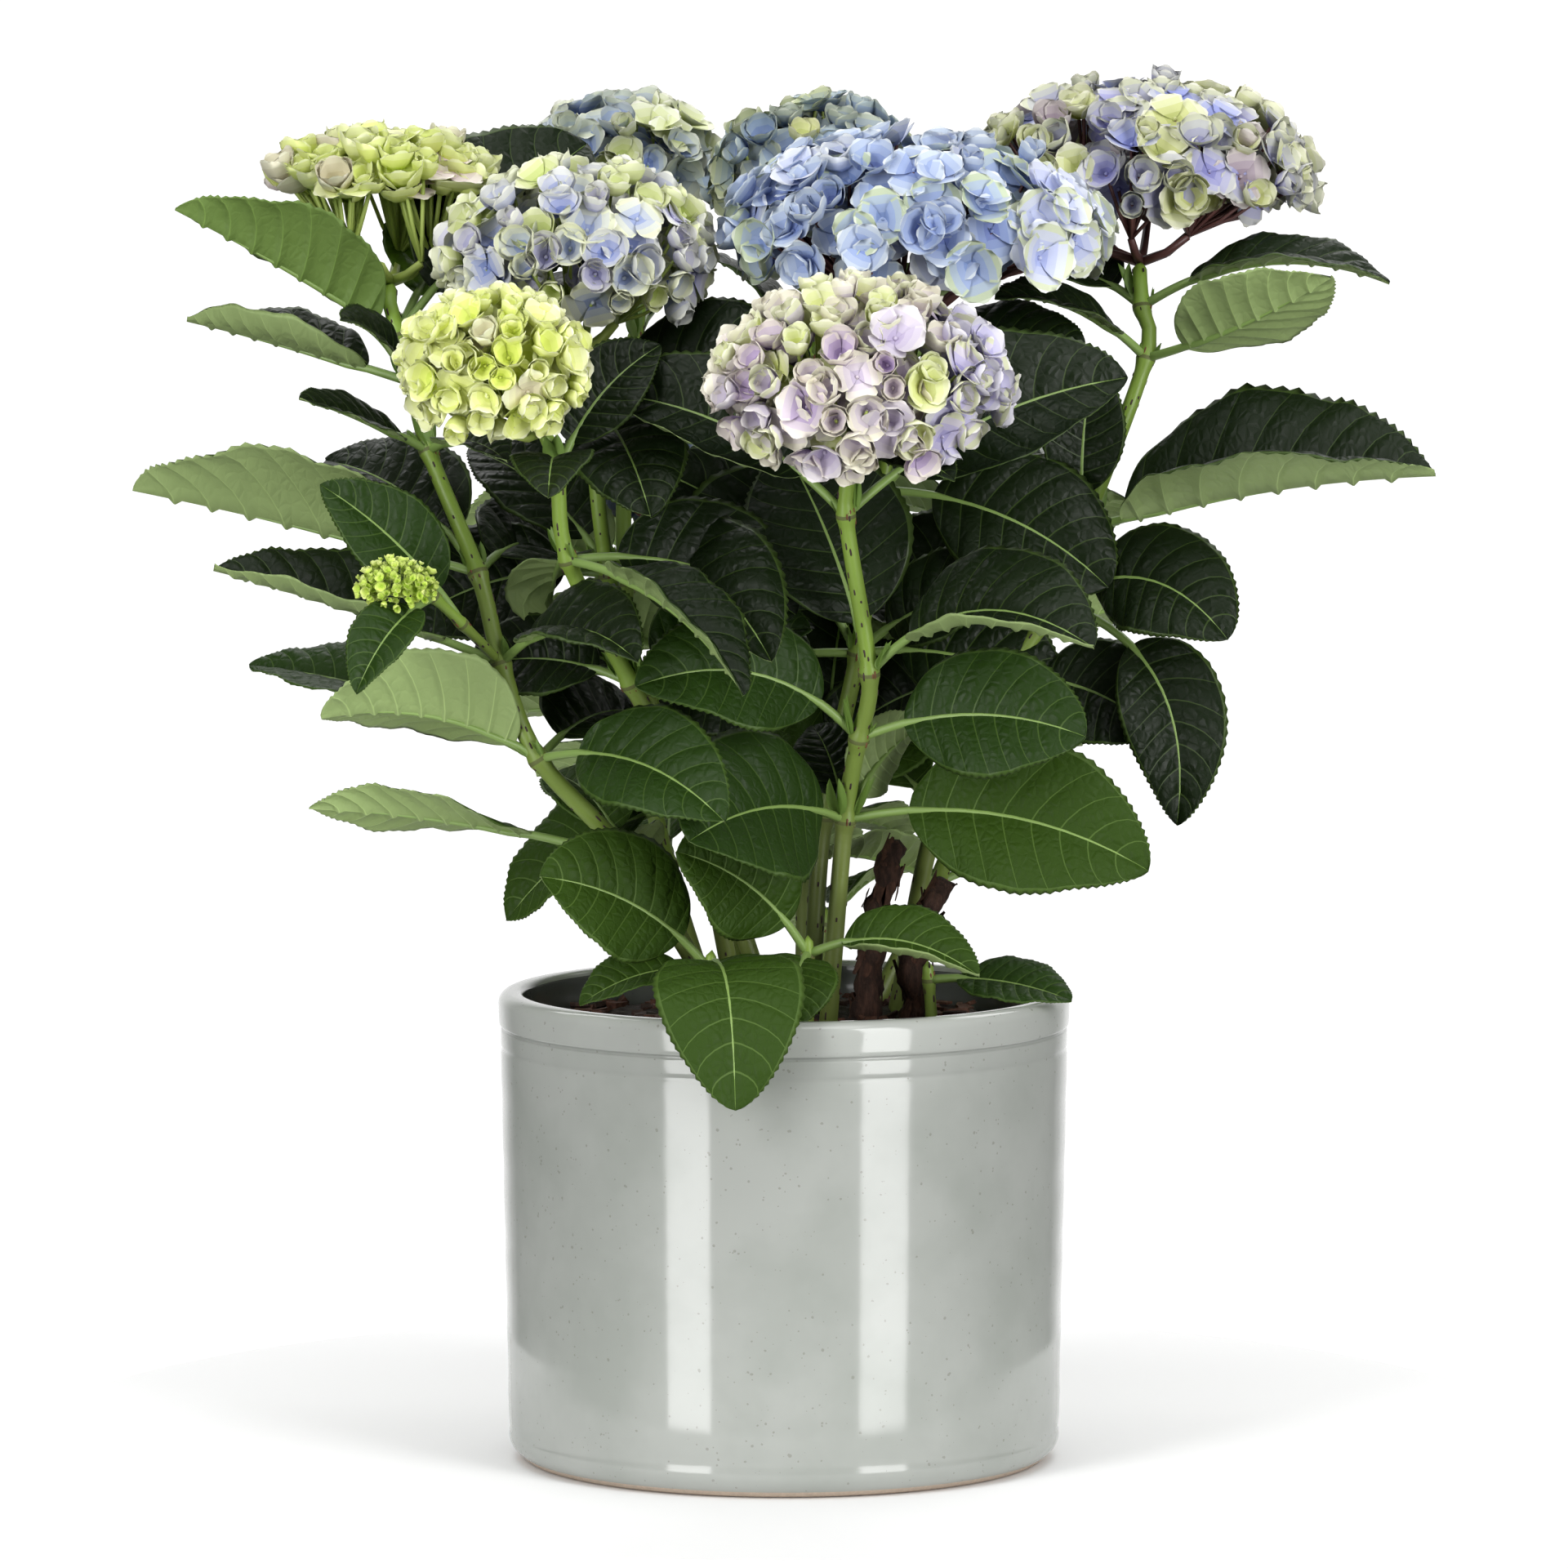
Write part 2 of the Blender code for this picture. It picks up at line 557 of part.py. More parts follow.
def shoot_paths(shoot):
    """The bough's path and the mass's path, with a gap between them and straight ends that meet."""
    path, at = whole_path(shoot)
    split = round(at[1] * BOUGH_SHARE)
    meet = path[split]
    along = (path[split + 1] - path[split - 1]).normalized()
    bough = grounded(path[:split]) + [meet - along * STRAIGHT_END, meet]
    mass = [meet + along * GAP, meet + along * (GAP + STRAIGHT_END)] + path[split + 1:]
    return bough, mass


def rule_shoot(name, foot, top, bow, count, seed, light_bearing):
    """A shoot with evenly spaced knots on a bowed path and crosswise pairs of leaves at each."""
    draw = random.Random(seed)
    start = Vector((*foot, SOIL_TOP))
    rise = Vector(top) - start
    knots = [start]
    leaves = {}
    for i in range(1, count + 1):
        share = i / count - (0.04 if i == count else 0.0)
        swell = 4 * share * (1 - share)
        knots.append(start + rise * share + Vector((*bow, 0.0)) * swell)
        bearing = light_bearing + 45 + 90 * i + draw.uniform(-14, 14)
        tilt = BACK_RISE_LOW + (BACK_RISE_HIGH - BACK_RISE_LOW) * share
        leaves[i] = tuple(
            Leaf(bearing + 180 * half, tilt + draw.uniform(-8, 8),
                 BACK_PAIR_REACH * (0.8 + 0.2 * share) * draw.uniform(0.9, 1.1), draw.uniform(20, 50),
                 draw.uniform(10, 22), draw.uniform(0.56, 0.68), draw.uniform(0.08, 0.16))
            for half in (0, 1))
    return Shoot(name, tuple(knots), leaves, light=direction(light_bearing, 0))


def settle(root, leaf, light, ground):
    """The leaf, or its nearest small turn, whose blade keeps clear of all that stands; else None."""
    for swing, lift in NUDGES:
        tried = leaf._replace(bearing=leaf.bearing + swing, rise=leaf.rise + lift)
        probe = blade_probe(root, tried, light)
        clear = ground.is_free(probe)
        probe.free()
        if clear:
            return tried
    return None


def add_leaves(node, shoot, pieces, ground):
    """Settles each leaf of a shoot and adds it to the mass's pieces."""
    for knot, leaves in shoot.leaves.items():
        root = Vector(shoot.knots[knot])
        for leaf in leaves:
            held = settle(root, leaf, shoot.light, ground)
            if held is None:
                continue
            stalk = rod_mesh(root, leaf_point(root, held, held.stalk), STALK_PROBE, STALK_PROBE)
            clear = ground.is_free(stalk, but_node=node)
            stalk.free()
            if clear:
                made = whole_leaf(root, held, shoot.light)
                ground.claim(node, made)
                blade = blade_probe(root, held, shoot.light)
                ground.claim(node + ".blade", blade)
                blade.free()
                pieces.append(made)


def head_axes(bloom):
    """The dome's own axes: across, back and up, leaned over towards a bearing."""
    bearing, angle = bloom.lean
    axis = UP.cross(direction(bearing, 0))
    return Matrix.Rotation(math.radians(angle), 3, axis)


def head_pieces(bloom, shoot, ground):
    """The stalk, core, rays and florets of a bloom head."""
    centre = Vector(bloom.centre)
    axes = head_axes(bloom)
    reach = Vector(bloom.reach)
    top, along = stem_end(shoot)
    start = top + along * GAP
    heart = centre - axes @ Vector((0.0, 0.0, reach.z * HEART_DROP))
    stalk = limb_mesh([start, start + along * STRAIGHT_END, heart], [shoot.top_radius] * 3)
    core = bmesh.new()
    bmesh.ops.create_icosphere(core, subdivisions=2, radius=CORE_SHARE)
    for vert in core.verts:
        vert.co.z *= 1.0 if vert.co.z > 0 else CORE_UNDERSIDE
    squash = Matrix.Diagonal((*reach, 1.0))
    place = Matrix.Translation(centre) @ axes.to_4x4() @ squash
    bmesh.ops.transform(core, matrix=place, verts=core.verts)
    pieces = [core, stalk]
    fork = start + (heart - start) * FORK_SHARE
    for i in range(RAYS):
        turn = 2 * math.pi * (i + 0.4) / RAYS
        spread = Vector((reach.x * math.cos(turn), reach.y * math.sin(turn), 0.0)) * RAY_SPREAD
        end = centre + axes @ spread
        pieces.append(rod_mesh(fork, end, RAY_RADIUS * 1.4, RAY_RADIUS))
    for piece in pieces:
        ground.claim(bloom.name, piece)
    for i in range(bloom.florets):
        polar = math.acos(1 - (1 - math.cos(DOME_SWEEP)) * (i + 0.5) / bloom.florets)
        aim = direction(i * GOLDEN_ANGLE, 90 - math.degrees(polar))
        out = Vector(a / b for a, b in zip(aim, reach)).normalized()
        tip = Vector(a * b for a, b in zip(aim, reach))
        root = tip * FLORET_ROOT
        tip -= out * bloom.floret_radius * FLORET_SINK
        floret = floret_mesh(centre + axes @ root, centre + axes @ tip, bloom.floret_radius)
        if ground.is_free(floret, but_node=bloom.name):
            ground.claim(bloom.name, floret)
            pieces.append(floret)
        else:
            floret.free()
    return pieces


def main():
    clear_scene()
    plant = new_collection("potted_hydrangea")
    ground = Ground()
    bark = finish_material("bark", (0.16, 0.09, 0.06), 0.85)
    stem_green = finish_material("stem_green", (0.27, 0.40, 0.08), 0.5)
    leaf_green = finish_material("leaf_green", (0.045, 0.13, 0.035), 0.4)
    for maker in (make_pot, make_soil):
        made = maker(plant)
        shape = bmesh.new()
        shape.from_object(made, bpy.context.evaluated_depsgraph_get())
        ground.claim(made.name, shape)
        shape.free()

    tall = [LEFT, FRONT_SHOOT, MID_LEFT, INNER_LEFT, CENTRE, RIGHT]
    tall += [rule_shoot(*numbers) for numbers in BACK_SHOOTS]
    low = [LOW_LEFT, LOW_FRONT, LOW_RIGHT, LOW_BACK]
    masses = {}
    for shoot in tall:
        bough_path, mass_path = shoot_paths(shoot)
        bough = limb_mesh(bough_path, spread_radii(shoot, len(bough_path), 0.0, 0.15))
        stem = limb_mesh(mass_path, spread_radii(shoot, len(mass_path), 0.15, 1.0))
        ground.claim("stem_" + shoot.name, bough)
        solid("stem_" + shoot.name, bough, plant, stem_green)
        masses["leaves_" + shoot.name] = (stem, [shoot])
    for shoot in low:
        path = grounded(whole_path(shoot)[0])
        masses["leaves_" + shoot.name] = (limb_mesh(path, spread_radii(shoot, len(path))), [shoot])
    side_path = whole_path(LEFT_SIDE)[0]
    side_stem = limb_mesh(side_path, [TWIG_RADIUS] * len(side_path))
    masses["leaves_left"][1].append(LEFT_SIDE)
    for name, knots, radius in STUBS:
        path = grounded(smooth_path(knots, STEM_STEPS)[0])
        stub = limb_mesh(path, [radius * (1 - 0.3 * i / len(path)) for i in range(len(path))])
        ground.claim(name, stub)
        solid(name, stub, plant, bark)
    for node, (stem, _) in masses.items():
        ground.claim(node, stem)
    ground.claim("leaves_left", side_stem)

    by_name = {shoot.name: shoot for shoot in tall + [LEFT_SIDE]}
    for bloom in BLOOMS:
        pieces = head_pieces(bloom, by_name[bloom.shoot], ground)
        fuse(bloom.name, pieces, plant, finish_material(bloom.colour, COLOURS[bloom.colour], 0.6))
    for node, (stem, shoots) in masses.items():
        pieces = [stem]
        if LEFT_SIDE in shoots:
            pieces.append(side_stem)
        for shoot in shoots:
            add_leaves(node, shoot, pieces, ground)
        fuse(node, pieces, plant, leaf_green)


main()
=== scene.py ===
"""A potted hydrangea, dressed: glazed pot, potting soil, jointed green stems, veined leaves in
pairs and domed heads of four-sepalled florets.

Leaves, stems and heads grow by the same plan and rules as the solids they stand for, carried on
to veins, teeth, petals and flower stalks. Where a rule allows a leaf several small turns, the one
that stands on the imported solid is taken. Lengths are in metres, angles in degrees.
"""

import math
import random
from typing import NamedTuple

import bmesh
import bpy
import numpy as np
from bpy.props import FloatProperty, FloatVectorProperty, IntProperty, PointerProperty
from mathutils import Matrix, Vector, noise
from mathutils.bvhtree import BVHTree


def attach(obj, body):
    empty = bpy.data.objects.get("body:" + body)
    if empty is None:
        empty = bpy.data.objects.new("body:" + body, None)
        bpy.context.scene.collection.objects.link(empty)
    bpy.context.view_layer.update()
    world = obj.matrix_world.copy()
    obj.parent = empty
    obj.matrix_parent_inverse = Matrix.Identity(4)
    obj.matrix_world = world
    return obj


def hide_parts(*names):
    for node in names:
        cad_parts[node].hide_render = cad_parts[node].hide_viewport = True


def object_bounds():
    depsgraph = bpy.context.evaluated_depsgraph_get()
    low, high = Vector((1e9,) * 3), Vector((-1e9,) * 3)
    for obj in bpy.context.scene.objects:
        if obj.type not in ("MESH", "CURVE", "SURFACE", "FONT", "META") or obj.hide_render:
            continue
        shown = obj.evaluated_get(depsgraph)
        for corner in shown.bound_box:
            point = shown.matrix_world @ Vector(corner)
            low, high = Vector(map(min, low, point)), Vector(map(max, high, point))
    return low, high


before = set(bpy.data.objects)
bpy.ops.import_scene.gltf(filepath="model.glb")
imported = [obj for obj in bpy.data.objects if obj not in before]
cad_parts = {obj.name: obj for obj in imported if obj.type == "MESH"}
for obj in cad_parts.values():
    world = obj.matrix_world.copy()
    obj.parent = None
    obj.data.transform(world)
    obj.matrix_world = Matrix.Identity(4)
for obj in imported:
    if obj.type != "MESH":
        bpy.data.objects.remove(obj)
CAD_BOX = [list(corner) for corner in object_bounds()]

bl_info = {
    "name": "Potted hydrangea",
    "version": (1, 0, 0),
    "blender": (4, 5, 0),
    "location": "3D View > Sidebar > Hydrangea",
    "description": "Dresses a potted hydrangea's solids with leaves, florets, stems, soil and glaze",
    "category": "Object",
}

# ---- the plan, as the solids have it
POT_HEIGHT = 0.140
RIM_RADIUS = 0.0853
SHOULDER_RADIUS = 0.0846
HEEL_RADIUS = 0.0824
FOOT_RADIUS = 0.0785
WALL = 0.0075
BEAD_HEIGHT = 0.0105
GROOVE_DROP = 0.017
SOIL_TOP = 0.131
SOIL_EDGE_DROP = 0.004
GAP = 0.0003
STEM_FOOT_RADIUS = 0.0034
STEM_TOP_RADIUS = 0.0026
LOW_STEM_RADIUS = 0.0024
TWIG_RADIUS = 0.0018
LEAF_STALK_RADIUS = 0.0013
STEM_LEAD = 0.006
HEART_DROP = 0.1
NUDGES = ((0, 0), (0, 7), (0, -7), (9, 0), (-9, 0), (9, 9), (-9, 9), (14, -9), (-14, -9),
          (0, 16), (20, 0), (-20, 0), (0, -16), (26, 12), (-26, 12))
FRONT = Vector((0.0, -1.0, 0.0))
UP = Vector((0.0, 0.0, 1.0))


class Leaf(NamedTuple):
    """A leaf by its chord from knot to tip, in degrees and metres, and how its blade is held."""
    bearing: float
    rise: float
    reach: float
    turn: float = 35.0
    fold: float = 16.0
    width: float = 0.62
    arch: float = 0.10
    stalk: float = 0.20
    twist: float = 0.0


class Shoot(NamedTuple):
    """A shoot by its knots, foot first, and the leaves at each knot."""
    name: str
    knots: tuple
    leaves: dict
    foot_radius: float = STEM_FOOT_RADIUS
    top_radius: float = STEM_TOP_RADIUS
    light: Vector = FRONT


LEFT = Shoot("left", (
    (-0.014, -0.026, SOIL_TOP), (-0.046, -0.036, 0.183), (-0.072, -0.042, 0.213),
    (-0.083, -0.040, 0.241), (-0.090, -0.032, 0.267), (-0.105, -0.016, 0.302),
    (-0.110, -0.012, 0.322), (-0.114, -0.010, 0.336)), {
    1: (Leaf(170, 8, 0.097, 20, 12, 0.42, 0.03, 0.30, -80), Leaf(116, 22, 0.055)),
    2: (Leaf(-164, 12, 0.067, -35, 22, 0.72, 0.10, 0.12), Leaf(-40, -11, 0.073, 55, 12, 0.62, 0.12),
        Leaf(150, 13, 0.104, 30, 20, 0.48, 0.05, 0.42)),
    3: (Leaf(177, 18, 0.089, 22, 24, 0.50, 0.02), Leaf(-41, 4, 0.064, 35, 26, 0.60, 0.16)),
    4: (Leaf(163, 12, 0.111, -12, 36, 0.54, 0.01, 0.10), Leaf(69, 0, 0.070, 60)),
    5: (Leaf(-141, 20, 0.050, 30, 14, 0.64, 0.03), Leaf(-58, -1, 0.046, 30, 18, 0.55)),
    6: (Leaf(163, 14, 0.073, 8, 22, 0.54, 0.01), Leaf(-119, 27, 0.045, 50, 14, 0.55)),
    7: (Leaf(-158, 29, 0.079, -20, 32, 0.60, 0.01, 0.10), Leaf(56, 30, 0.088, 60, 12, 0.56)),
})
LEFT_SIDE = Shoot("left_side", (
    LEFT.knots[3], (-0.094, -0.056, 0.254), (-0.102, -0.064, 0.2625)), {
    1: (Leaf(-178, 44, 0.058, 62, 20, 0.56, 0.06, 0.20),),
    2: (Leaf(-125, -28, 0.045, 40, 26, 0.55),),
}, TWIG_RADIUS, TWIG_RADIUS)
FRONT_SHOOT = Shoot("front", (
    (0.013, -0.020, SOIL_TOP), (0.018, -0.032, 0.194), (0.022, -0.042, 0.219),
    (0.025, -0.050, 0.239), (0.018, -0.062, 0.286), (0.020, -0.067, 0.302)), {
    1: (Leaf(-132, 6, 0.068, 74, 8, 0.86, 0.10, 0.14), Leaf(-13, -8, 0.092, 64, 10, 0.66)),
    2: (Leaf(-166, 5, 0.073, 66, 10, 0.66, 0.16), Leaf(-17, 2, 0.069, 66, 10, 0.74)),
    3: (Leaf(121, 53, 0.078, 60, 10, 0.80, 0.06), Leaf(-37, 8, 0.081, 44, 18, 0.66, 0.18)),
    4: (Leaf(166, 25, 0.082, 52, 16, 0.62, 0.10), Leaf(12, 25, 0.093, 58, 14, 0.66, 0.08)),
    5: (Leaf(-60, -4, 0.046, 36, 16, 0.55), Leaf(131, 7, 0.044)),
})
MID_LEFT = Shoot("mid_left", (
    (-0.013, -0.006, SOIL_TOP), (-0.027, -0.022, 0.198), (-0.045, -0.038, 0.235),
    (-0.063, -0.050, 0.272), (-0.066, -0.057, 0.297)), {
    1: (Leaf(160, -25, 0.070), Leaf(41, 12, 0.052)),
    2: (Leaf(134, -3, 0.050, -30), Leaf(27, 24, 0.050, 60)),
    3: (Leaf(100, -35, 0.055, 40, 12, 0.66, 0.20), Leaf(-44, -26, 0.080, -8, 30, 0.45)),
    4: (Leaf(-92, -4, 0.046, 10, 12, 0.66, 0.18), Leaf(33, 40, 0.050, 60)),
})
INNER_LEFT = Shoot("inner_left", (
    (-0.004, 0.010, SOIL_TOP), (-0.024, 0.005, 0.191), (-0.041, 0.000, 0.229),
    (-0.052, -0.010, 0.265), (-0.058, -0.014, 0.316)), {
    2: (Leaf(134, 10, 0.066), Leaf(-34, 21, 0.058, 60)),
    3: (Leaf(139, 25, 0.066), Leaf(-45, -23, 0.085, 66, 10, 0.62, 0.16)),
    4: (Leaf(161, 12, 0.058), Leaf(-30, 12, 0.072, 50)),
})
CENTRE = Shoot("centre", (
    (0.008, 0.020, SOIL_TOP), (0.012, 0.016, 0.190), (0.022, 0.008, 0.240),
    (0.029, 0.004, 0.289), (0.035, 0.000, 0.328)), {
    1: (Leaf(172, 48, 0.066, 60, 10, 0.66), Leaf(20, 40, 0.060, 60, 10, 0.66)),
    2: (Leaf(-164, 33, 0.084, 62, 10, 0.66), Leaf(-32, 20, 0.062, 60)),
    3: (Leaf(154, -2, 0.066), Leaf(-28, 27, 0.062, 62)),
    4: (Leaf(139, 8, 0.060), Leaf(-14, 6, 0.056, 30)),
})
RIGHT = Shoot("right", (
    (0.034, 0.022, SOIL_TOP), (0.046, 0.012, 0.191), (0.067, 0.006, 0.233),
    (0.081, 0.005, 0.256), (0.089, 0.007, 0.277), (0.108, 0.014, 0.328),
    (0.107, 0.020, 0.343)), {
    1: (Leaf(52, -30, 0.046, 40), Leaf(125, 18, 0.060)),
    2: (Leaf(-27, -17, 0.052, 70, 10, 0.84), Leaf(119, 3, 0.066)),
    3: (Leaf(-36, -8, 0.062, 66, 12, 0.76, 0.20), Leaf(-36, -56, 0.078, 62, 16, 0.60, 0.23, 0.32)),
    4: (Leaf(-23, 10, 0.113, 20, 45, 0.47, 0.03, 0.12), Leaf(70, 62, 0.052, 70, 12, 0.60)),
    5: (Leaf(-44, 20, 0.077, -38, 14, 0.62, -0.03), Leaf(-144, 12, 0.060, 26, 16, 0.55)),
    6: (Leaf(-12, 13, 0.075, 8, 20, 0.50, 0.13), Leaf(136, 10, 0.056)),
})
LOW_LEFT = Shoot("low_left", ((-0.025, -0.041, SOIL_TOP), (-0.022, -0.043, 0.151)), {
    1: (Leaf(-82, -31, 0.067, 20, 8, 0.78, 0.30, 0.16), Leaf(-157, 29, 0.061, 60, 10, 0.84),
        Leaf(-168, -14, 0.040, 30)),
}, LOW_STEM_RADIUS, TWIG_RADIUS)
LOW_FRONT = Shoot("low_front", ((0.007, -0.036, SOIL_TOP), (0.007, -0.040, 0.155)), {
    1: (Leaf(-148, 36, 0.056, 66, 10, 0.82), Leaf(-101, -32, 0.036, 40, 8, 0.80, 0.16, 0.12),
        Leaf(-24, -4, 0.055, 46, 14, 0.55, 0.14)),
}, LOW_STEM_RADIUS, TWIG_RADIUS)
LOW_RIGHT = Shoot("low_right", ((0.044, -0.016, SOIL_TOP), (0.043, -0.018, 0.145)), {
    1: (Leaf(-24, -5, 0.046, 30, 12, 0.66, 0.06), Leaf(128, 12, 0.050)),
}, LOW_STEM_RADIUS, TWIG_RADIUS)
STUBS = (
    ("woody_stub",
     ((0.024, -0.001, SOIL_TOP), (0.028, 0.000, 0.163), (0.034, 0.002, 0.184)), 0.0040),
    ("woody_stub_short",
     ((0.038, 0.000, SOIL_TOP), (0.040, -0.001, 0.158), (0.049, 0.000, 0.173)), 0.0034),
)

# ---- shoots that stand behind, whose leaves follow the rule: foot, top, bow, knots, seed, light
BACK_SHOOTS = (
    ("back_left", (-0.022, 0.026), (-0.044, 0.088, 0.338), (-0.014, 0.012), 5, 11, 110),
    ("back", (0.006, 0.040), (0.008, 0.066, 0.334), (0.000, 0.012), 4, 23, 90),
    ("back_low", (-0.012, 0.052), (-0.034, 0.116, 0.258), (0.000, 0.014), 4, 35, 95),
    ("back_right", (0.028, 0.046), (0.066, 0.102, 0.266), (0.012, 0.010), 4, 47, 70),
)
BACK_PAIR_REACH = 0.074
BACK_RISE_LOW = -6.0
BACK_RISE_HIGH = 16.0
BACK_SWING = 14
BACK_TILT = 8
TOP_KNOT_DROP = 0.04
LOW_BACK = Shoot("low_back", ((0.010, 0.064, SOIL_TOP), (0.012, 0.068, 0.152)), {
    1: (Leaf(60, 12, 0.056, 40), Leaf(150, 10, 0.052, 40), Leaf(100, -8, 0.044, 30)),
}, LOW_STEM_RADIUS, TWIG_RADIUS, -FRONT)

# ---- leaves inside the plant that fill between the masses' own, by shoot and knot
INNER_LEAVES = (
    ("left", 4, Leaf(138, 26, 0.070, 34, 12, 0.70)),
    ("left", 7, Leaf(46, 35, 0.096, 62, 10, 0.68, 0.04)),
    ("left", 2, Leaf(60, 8, 0.062, 50, 12, 0.72)),
    ("mid_left", 2, Leaf(168, 4, 0.050, 50, 12, 0.76)),
    ("mid_left", 3, Leaf(12, -14, 0.070, 60, 10, 0.76)),
    ("inner_left", 3, Leaf(172, -14, 0.062, 58, 10, 0.80)),
    ("inner_left", 4, Leaf(-70, -28, 0.064, 52, 12, 0.70)),
    ("centre", 3, Leaf(-12, -22, 0.074, 62, 10, 0.80)),
    ("centre", 3, Leaf(-168, -30, 0.070, 60, 10, 0.80)),
    ("centre", 2, Leaf(170, -18, 0.066, 62, 10, 0.80)),
    ("centre", 2, Leaf(-8, -12, 0.062, 62, 10, 0.80)),
    ("right", 3, Leaf(172, 6, 0.060, 60, 10, 0.78)),
    ("right", 2, Leaf(160, -20, 0.056, 60, 10, 0.80)),
    ("centre", 1, Leaf(78, 62, 0.080, 66, 8, 0.72)),
    ("centre", 1, Leaf(28, 50, 0.050, 64, 10, 0.80)),
    ("front", 1, Leaf(38, 42, 0.040, -50, 12, 0.80)),
    ("front", 1, Leaf(112, 46, 0.036, 55, 10, 0.80)),
)
STAND_LIMIT = 0.0015

# ---- pot and soil
WELL_FLOOR = 0.10
LIP_ROUND_INSIDE = 0.0022
LIP_ROUND_OUTSIDE = 0.0034
BEAD_ROUND = 0.0010
SHOULDER_ROUND = 0.0006
GROOVE_HALF = 0.0014
GROOVE_DEPTH = 0.00035
THROWING_RINGS = 16
THROWING_RIPPLE = 0.00012
HEEL_TOP = 0.012
HEEL_ROUND = 0.0062
CLAY_TOP = 0.0014
MERGE = 1e-6
# Brightening of the glaze on the rim: painted light.
RIM_PAINTED_LIGHT = 1.12
SOIL_RINGS = 26
SOIL_STEPS = 96
SOIL_BURIED = 0.02
# Lumps in the soil: how fine, and how high.
SOIL_LUMPS = ((160, 0.0016), (420, 0.0009))
CHIP_COUNT = 260
# Least and greatest length, width and thickness of a bark chip.
CHIP_SIZES = ((0.003, 0.009), (0.002, 0.005), (0.0008, 0.002))
CHIP_LIFT = 0.0006

# ---- stems
STEM_SIDES = 12
STEM_BURIED = 0.004
RING_STEP = 0.005
JOINT_CLEAR = 0.0045
JOINT_RINGS = (-0.004, -0.002, -0.0006, 0.0006, 0.002, 0.004)
JOINT_LENGTH = 0.0024
JOINT_HALF = 0.0005
JOINT_SWELL = 0.34
STEM_SLIMMING = 0.84
FLECK_SPACING = 0.0024
FLECK_RADIUS = 0.00028
SCARS_PER_KNOT = 5
SCAR_SPREAD = 0.0022
SHADE_STEPS = (0.0, 0.35, 0.7, 1.0)
JOINT_SLOT, FLECK_SLOT, SCAR_SLOT = 4, 5, 6
STUB_SIDES = 18
STUB_WANDER = 0.0022
STUB_KNOBS = 0.5
STUB_GRAIN = 0.0012
FLAKES_PER_STUB = 26
STALK_SIDES = 7
# Young leaves in the axils: the share that has begun to open, their lengths, and the others'.
OPENING_SHARE = 0.7
OPENING_LENGTHS = (0.006, 0.015)
CLOSED_LENGTHS = (0.004, 0.006)
YOUNG_HALF_WIDTH = 0.17
YOUNG_FOLD = 0.8
YOUNG_CURVE = 0.14

# ---- leaf blades
LATERALS = (0.055, 0.15, 0.26, 0.38, 0.50, 0.62, 0.74, 0.86)
INNER_ROWS = 5
COLUMNS = (0.03, 0.16, 0.36, 0.56, 0.76, 0.93, 1.0)
SWEEP = 0.19
RIB_HALF = 0.00052
RIB_SINK = 0.0004
VEIN_HALF = 0.00024
VEIN_RELIEF = 0.0011
VEIN_FADE = 0.88
BLADE_SKIN = 0.00035
USUAL_BLADE = 0.08
FULL_FROM = 0.56
FULL_OVER = 0.18
FOLD_OPENING = 0.22
DROOP_RANGE = (-0.16, 0.10)
# Teeth: where they grow and die away, how far they stand out and cut in, and how they lean.
TEETH_START = (0.10, 0.3)
TEETH_END = (0.93, 1.0)
TOOTH_OUT = 0.65
TOOTH_IN = 0.35
TOOTH_LEAN = 0.4
LIP_EASE = 0.7
LIP_DRAW = 0.20
UNDERSIDE_SWELL = 0.6
# Waves of the margin: waves along the blade, shift by side, power across, height to the length.
RUFFLES = ((2.6, 0.21, 2, 0.011), (6.1, -0.13, 3, 0.005))
# Height of the curled lip on the near margin of some leaves, by shoot, knot and number.
LIP_START = 0.62
LIPS = {("front", 3, 1): 0.0065, ("front", 4, 0): 0.005, ("front", 4, 1): 0.005,
        ("low_front", 1, 2): 0.005, ("left", 6, 0): 0.005, ("left", 3, 0): 0.005,
        ("inner_left", 3, 1): 0.004}
BLADE_KINDS = 6
BLADE, MIDRIB, LATERAL, MARGIN, UNDER, UNDER_VEIN = range(BLADE_KINDS)
FRESH_BELOW = 0.190
MID_BELOW = 0.232
INNER_DARK_ABOVE = 0.17
TONE_SCATTER = 0.012


class Tone(NamedTuple):
    """One green of leaf: shares of vein colour and of the top's colour beneath, and its finish."""
    name: str
    vein_share: float
    under_share: float
    bump: float
    shine: float
    rough: tuple
    quilt: float


TONES = (
    Tone("dark", 0.14, 0.10, 0.40, 0.18, (0.33, 0.50), 0.95),
    Tone("mid", 0.18, 0.10, 0.42, 0.18, (0.40, 0.56), 0.85),
    Tone("fresh", 0.24, 0.10, 0.50, 0.15, (0.50, 0.64), 0.75),
    Tone("lit", 0.28, 0.75, 0.50, 0.20, (0.45, 0.60), 1.10),
)
DARK, MID, FRESH, LIT = range(4)

# ---- florets
GOLDEN_ANGLE = 137.508
SEPAL_RINGS = (0.04, 0.24, 0.48, 0.73, 0.92, 1.0)
SEPAL_HALF_WIDTHS = (0.07, 0.33, 0.54, 0.60, 0.44, 0.20)
SEPAL_COLUMNS = (-1.0, -0.87, -0.36, 0.36, 0.87, 1.0)
SHORT_SEPAL = 0.9
PROFILE_STEPS = 8
NARROWEST_CUP = 0.22
EYE_HEIGHT = 0.06
PETAL_KINDS = ("throat", "inner", "mid", "outer", "rim")
# A head's two domes of florets: how deep in the head, and the share of its florets.
DOMES = ((0.0, 1.0), (0.27, 0.6))
FORK_SHARE = 0.3
HUBS = 6
HUB_SPREAD = 0.34
HUB_RISE = 0.35
# Florets of the second set of tints take a head's outer side: beyond this share, below this height.
EDGE_FROM = 0.58
EDGE_BELOW = 0.8

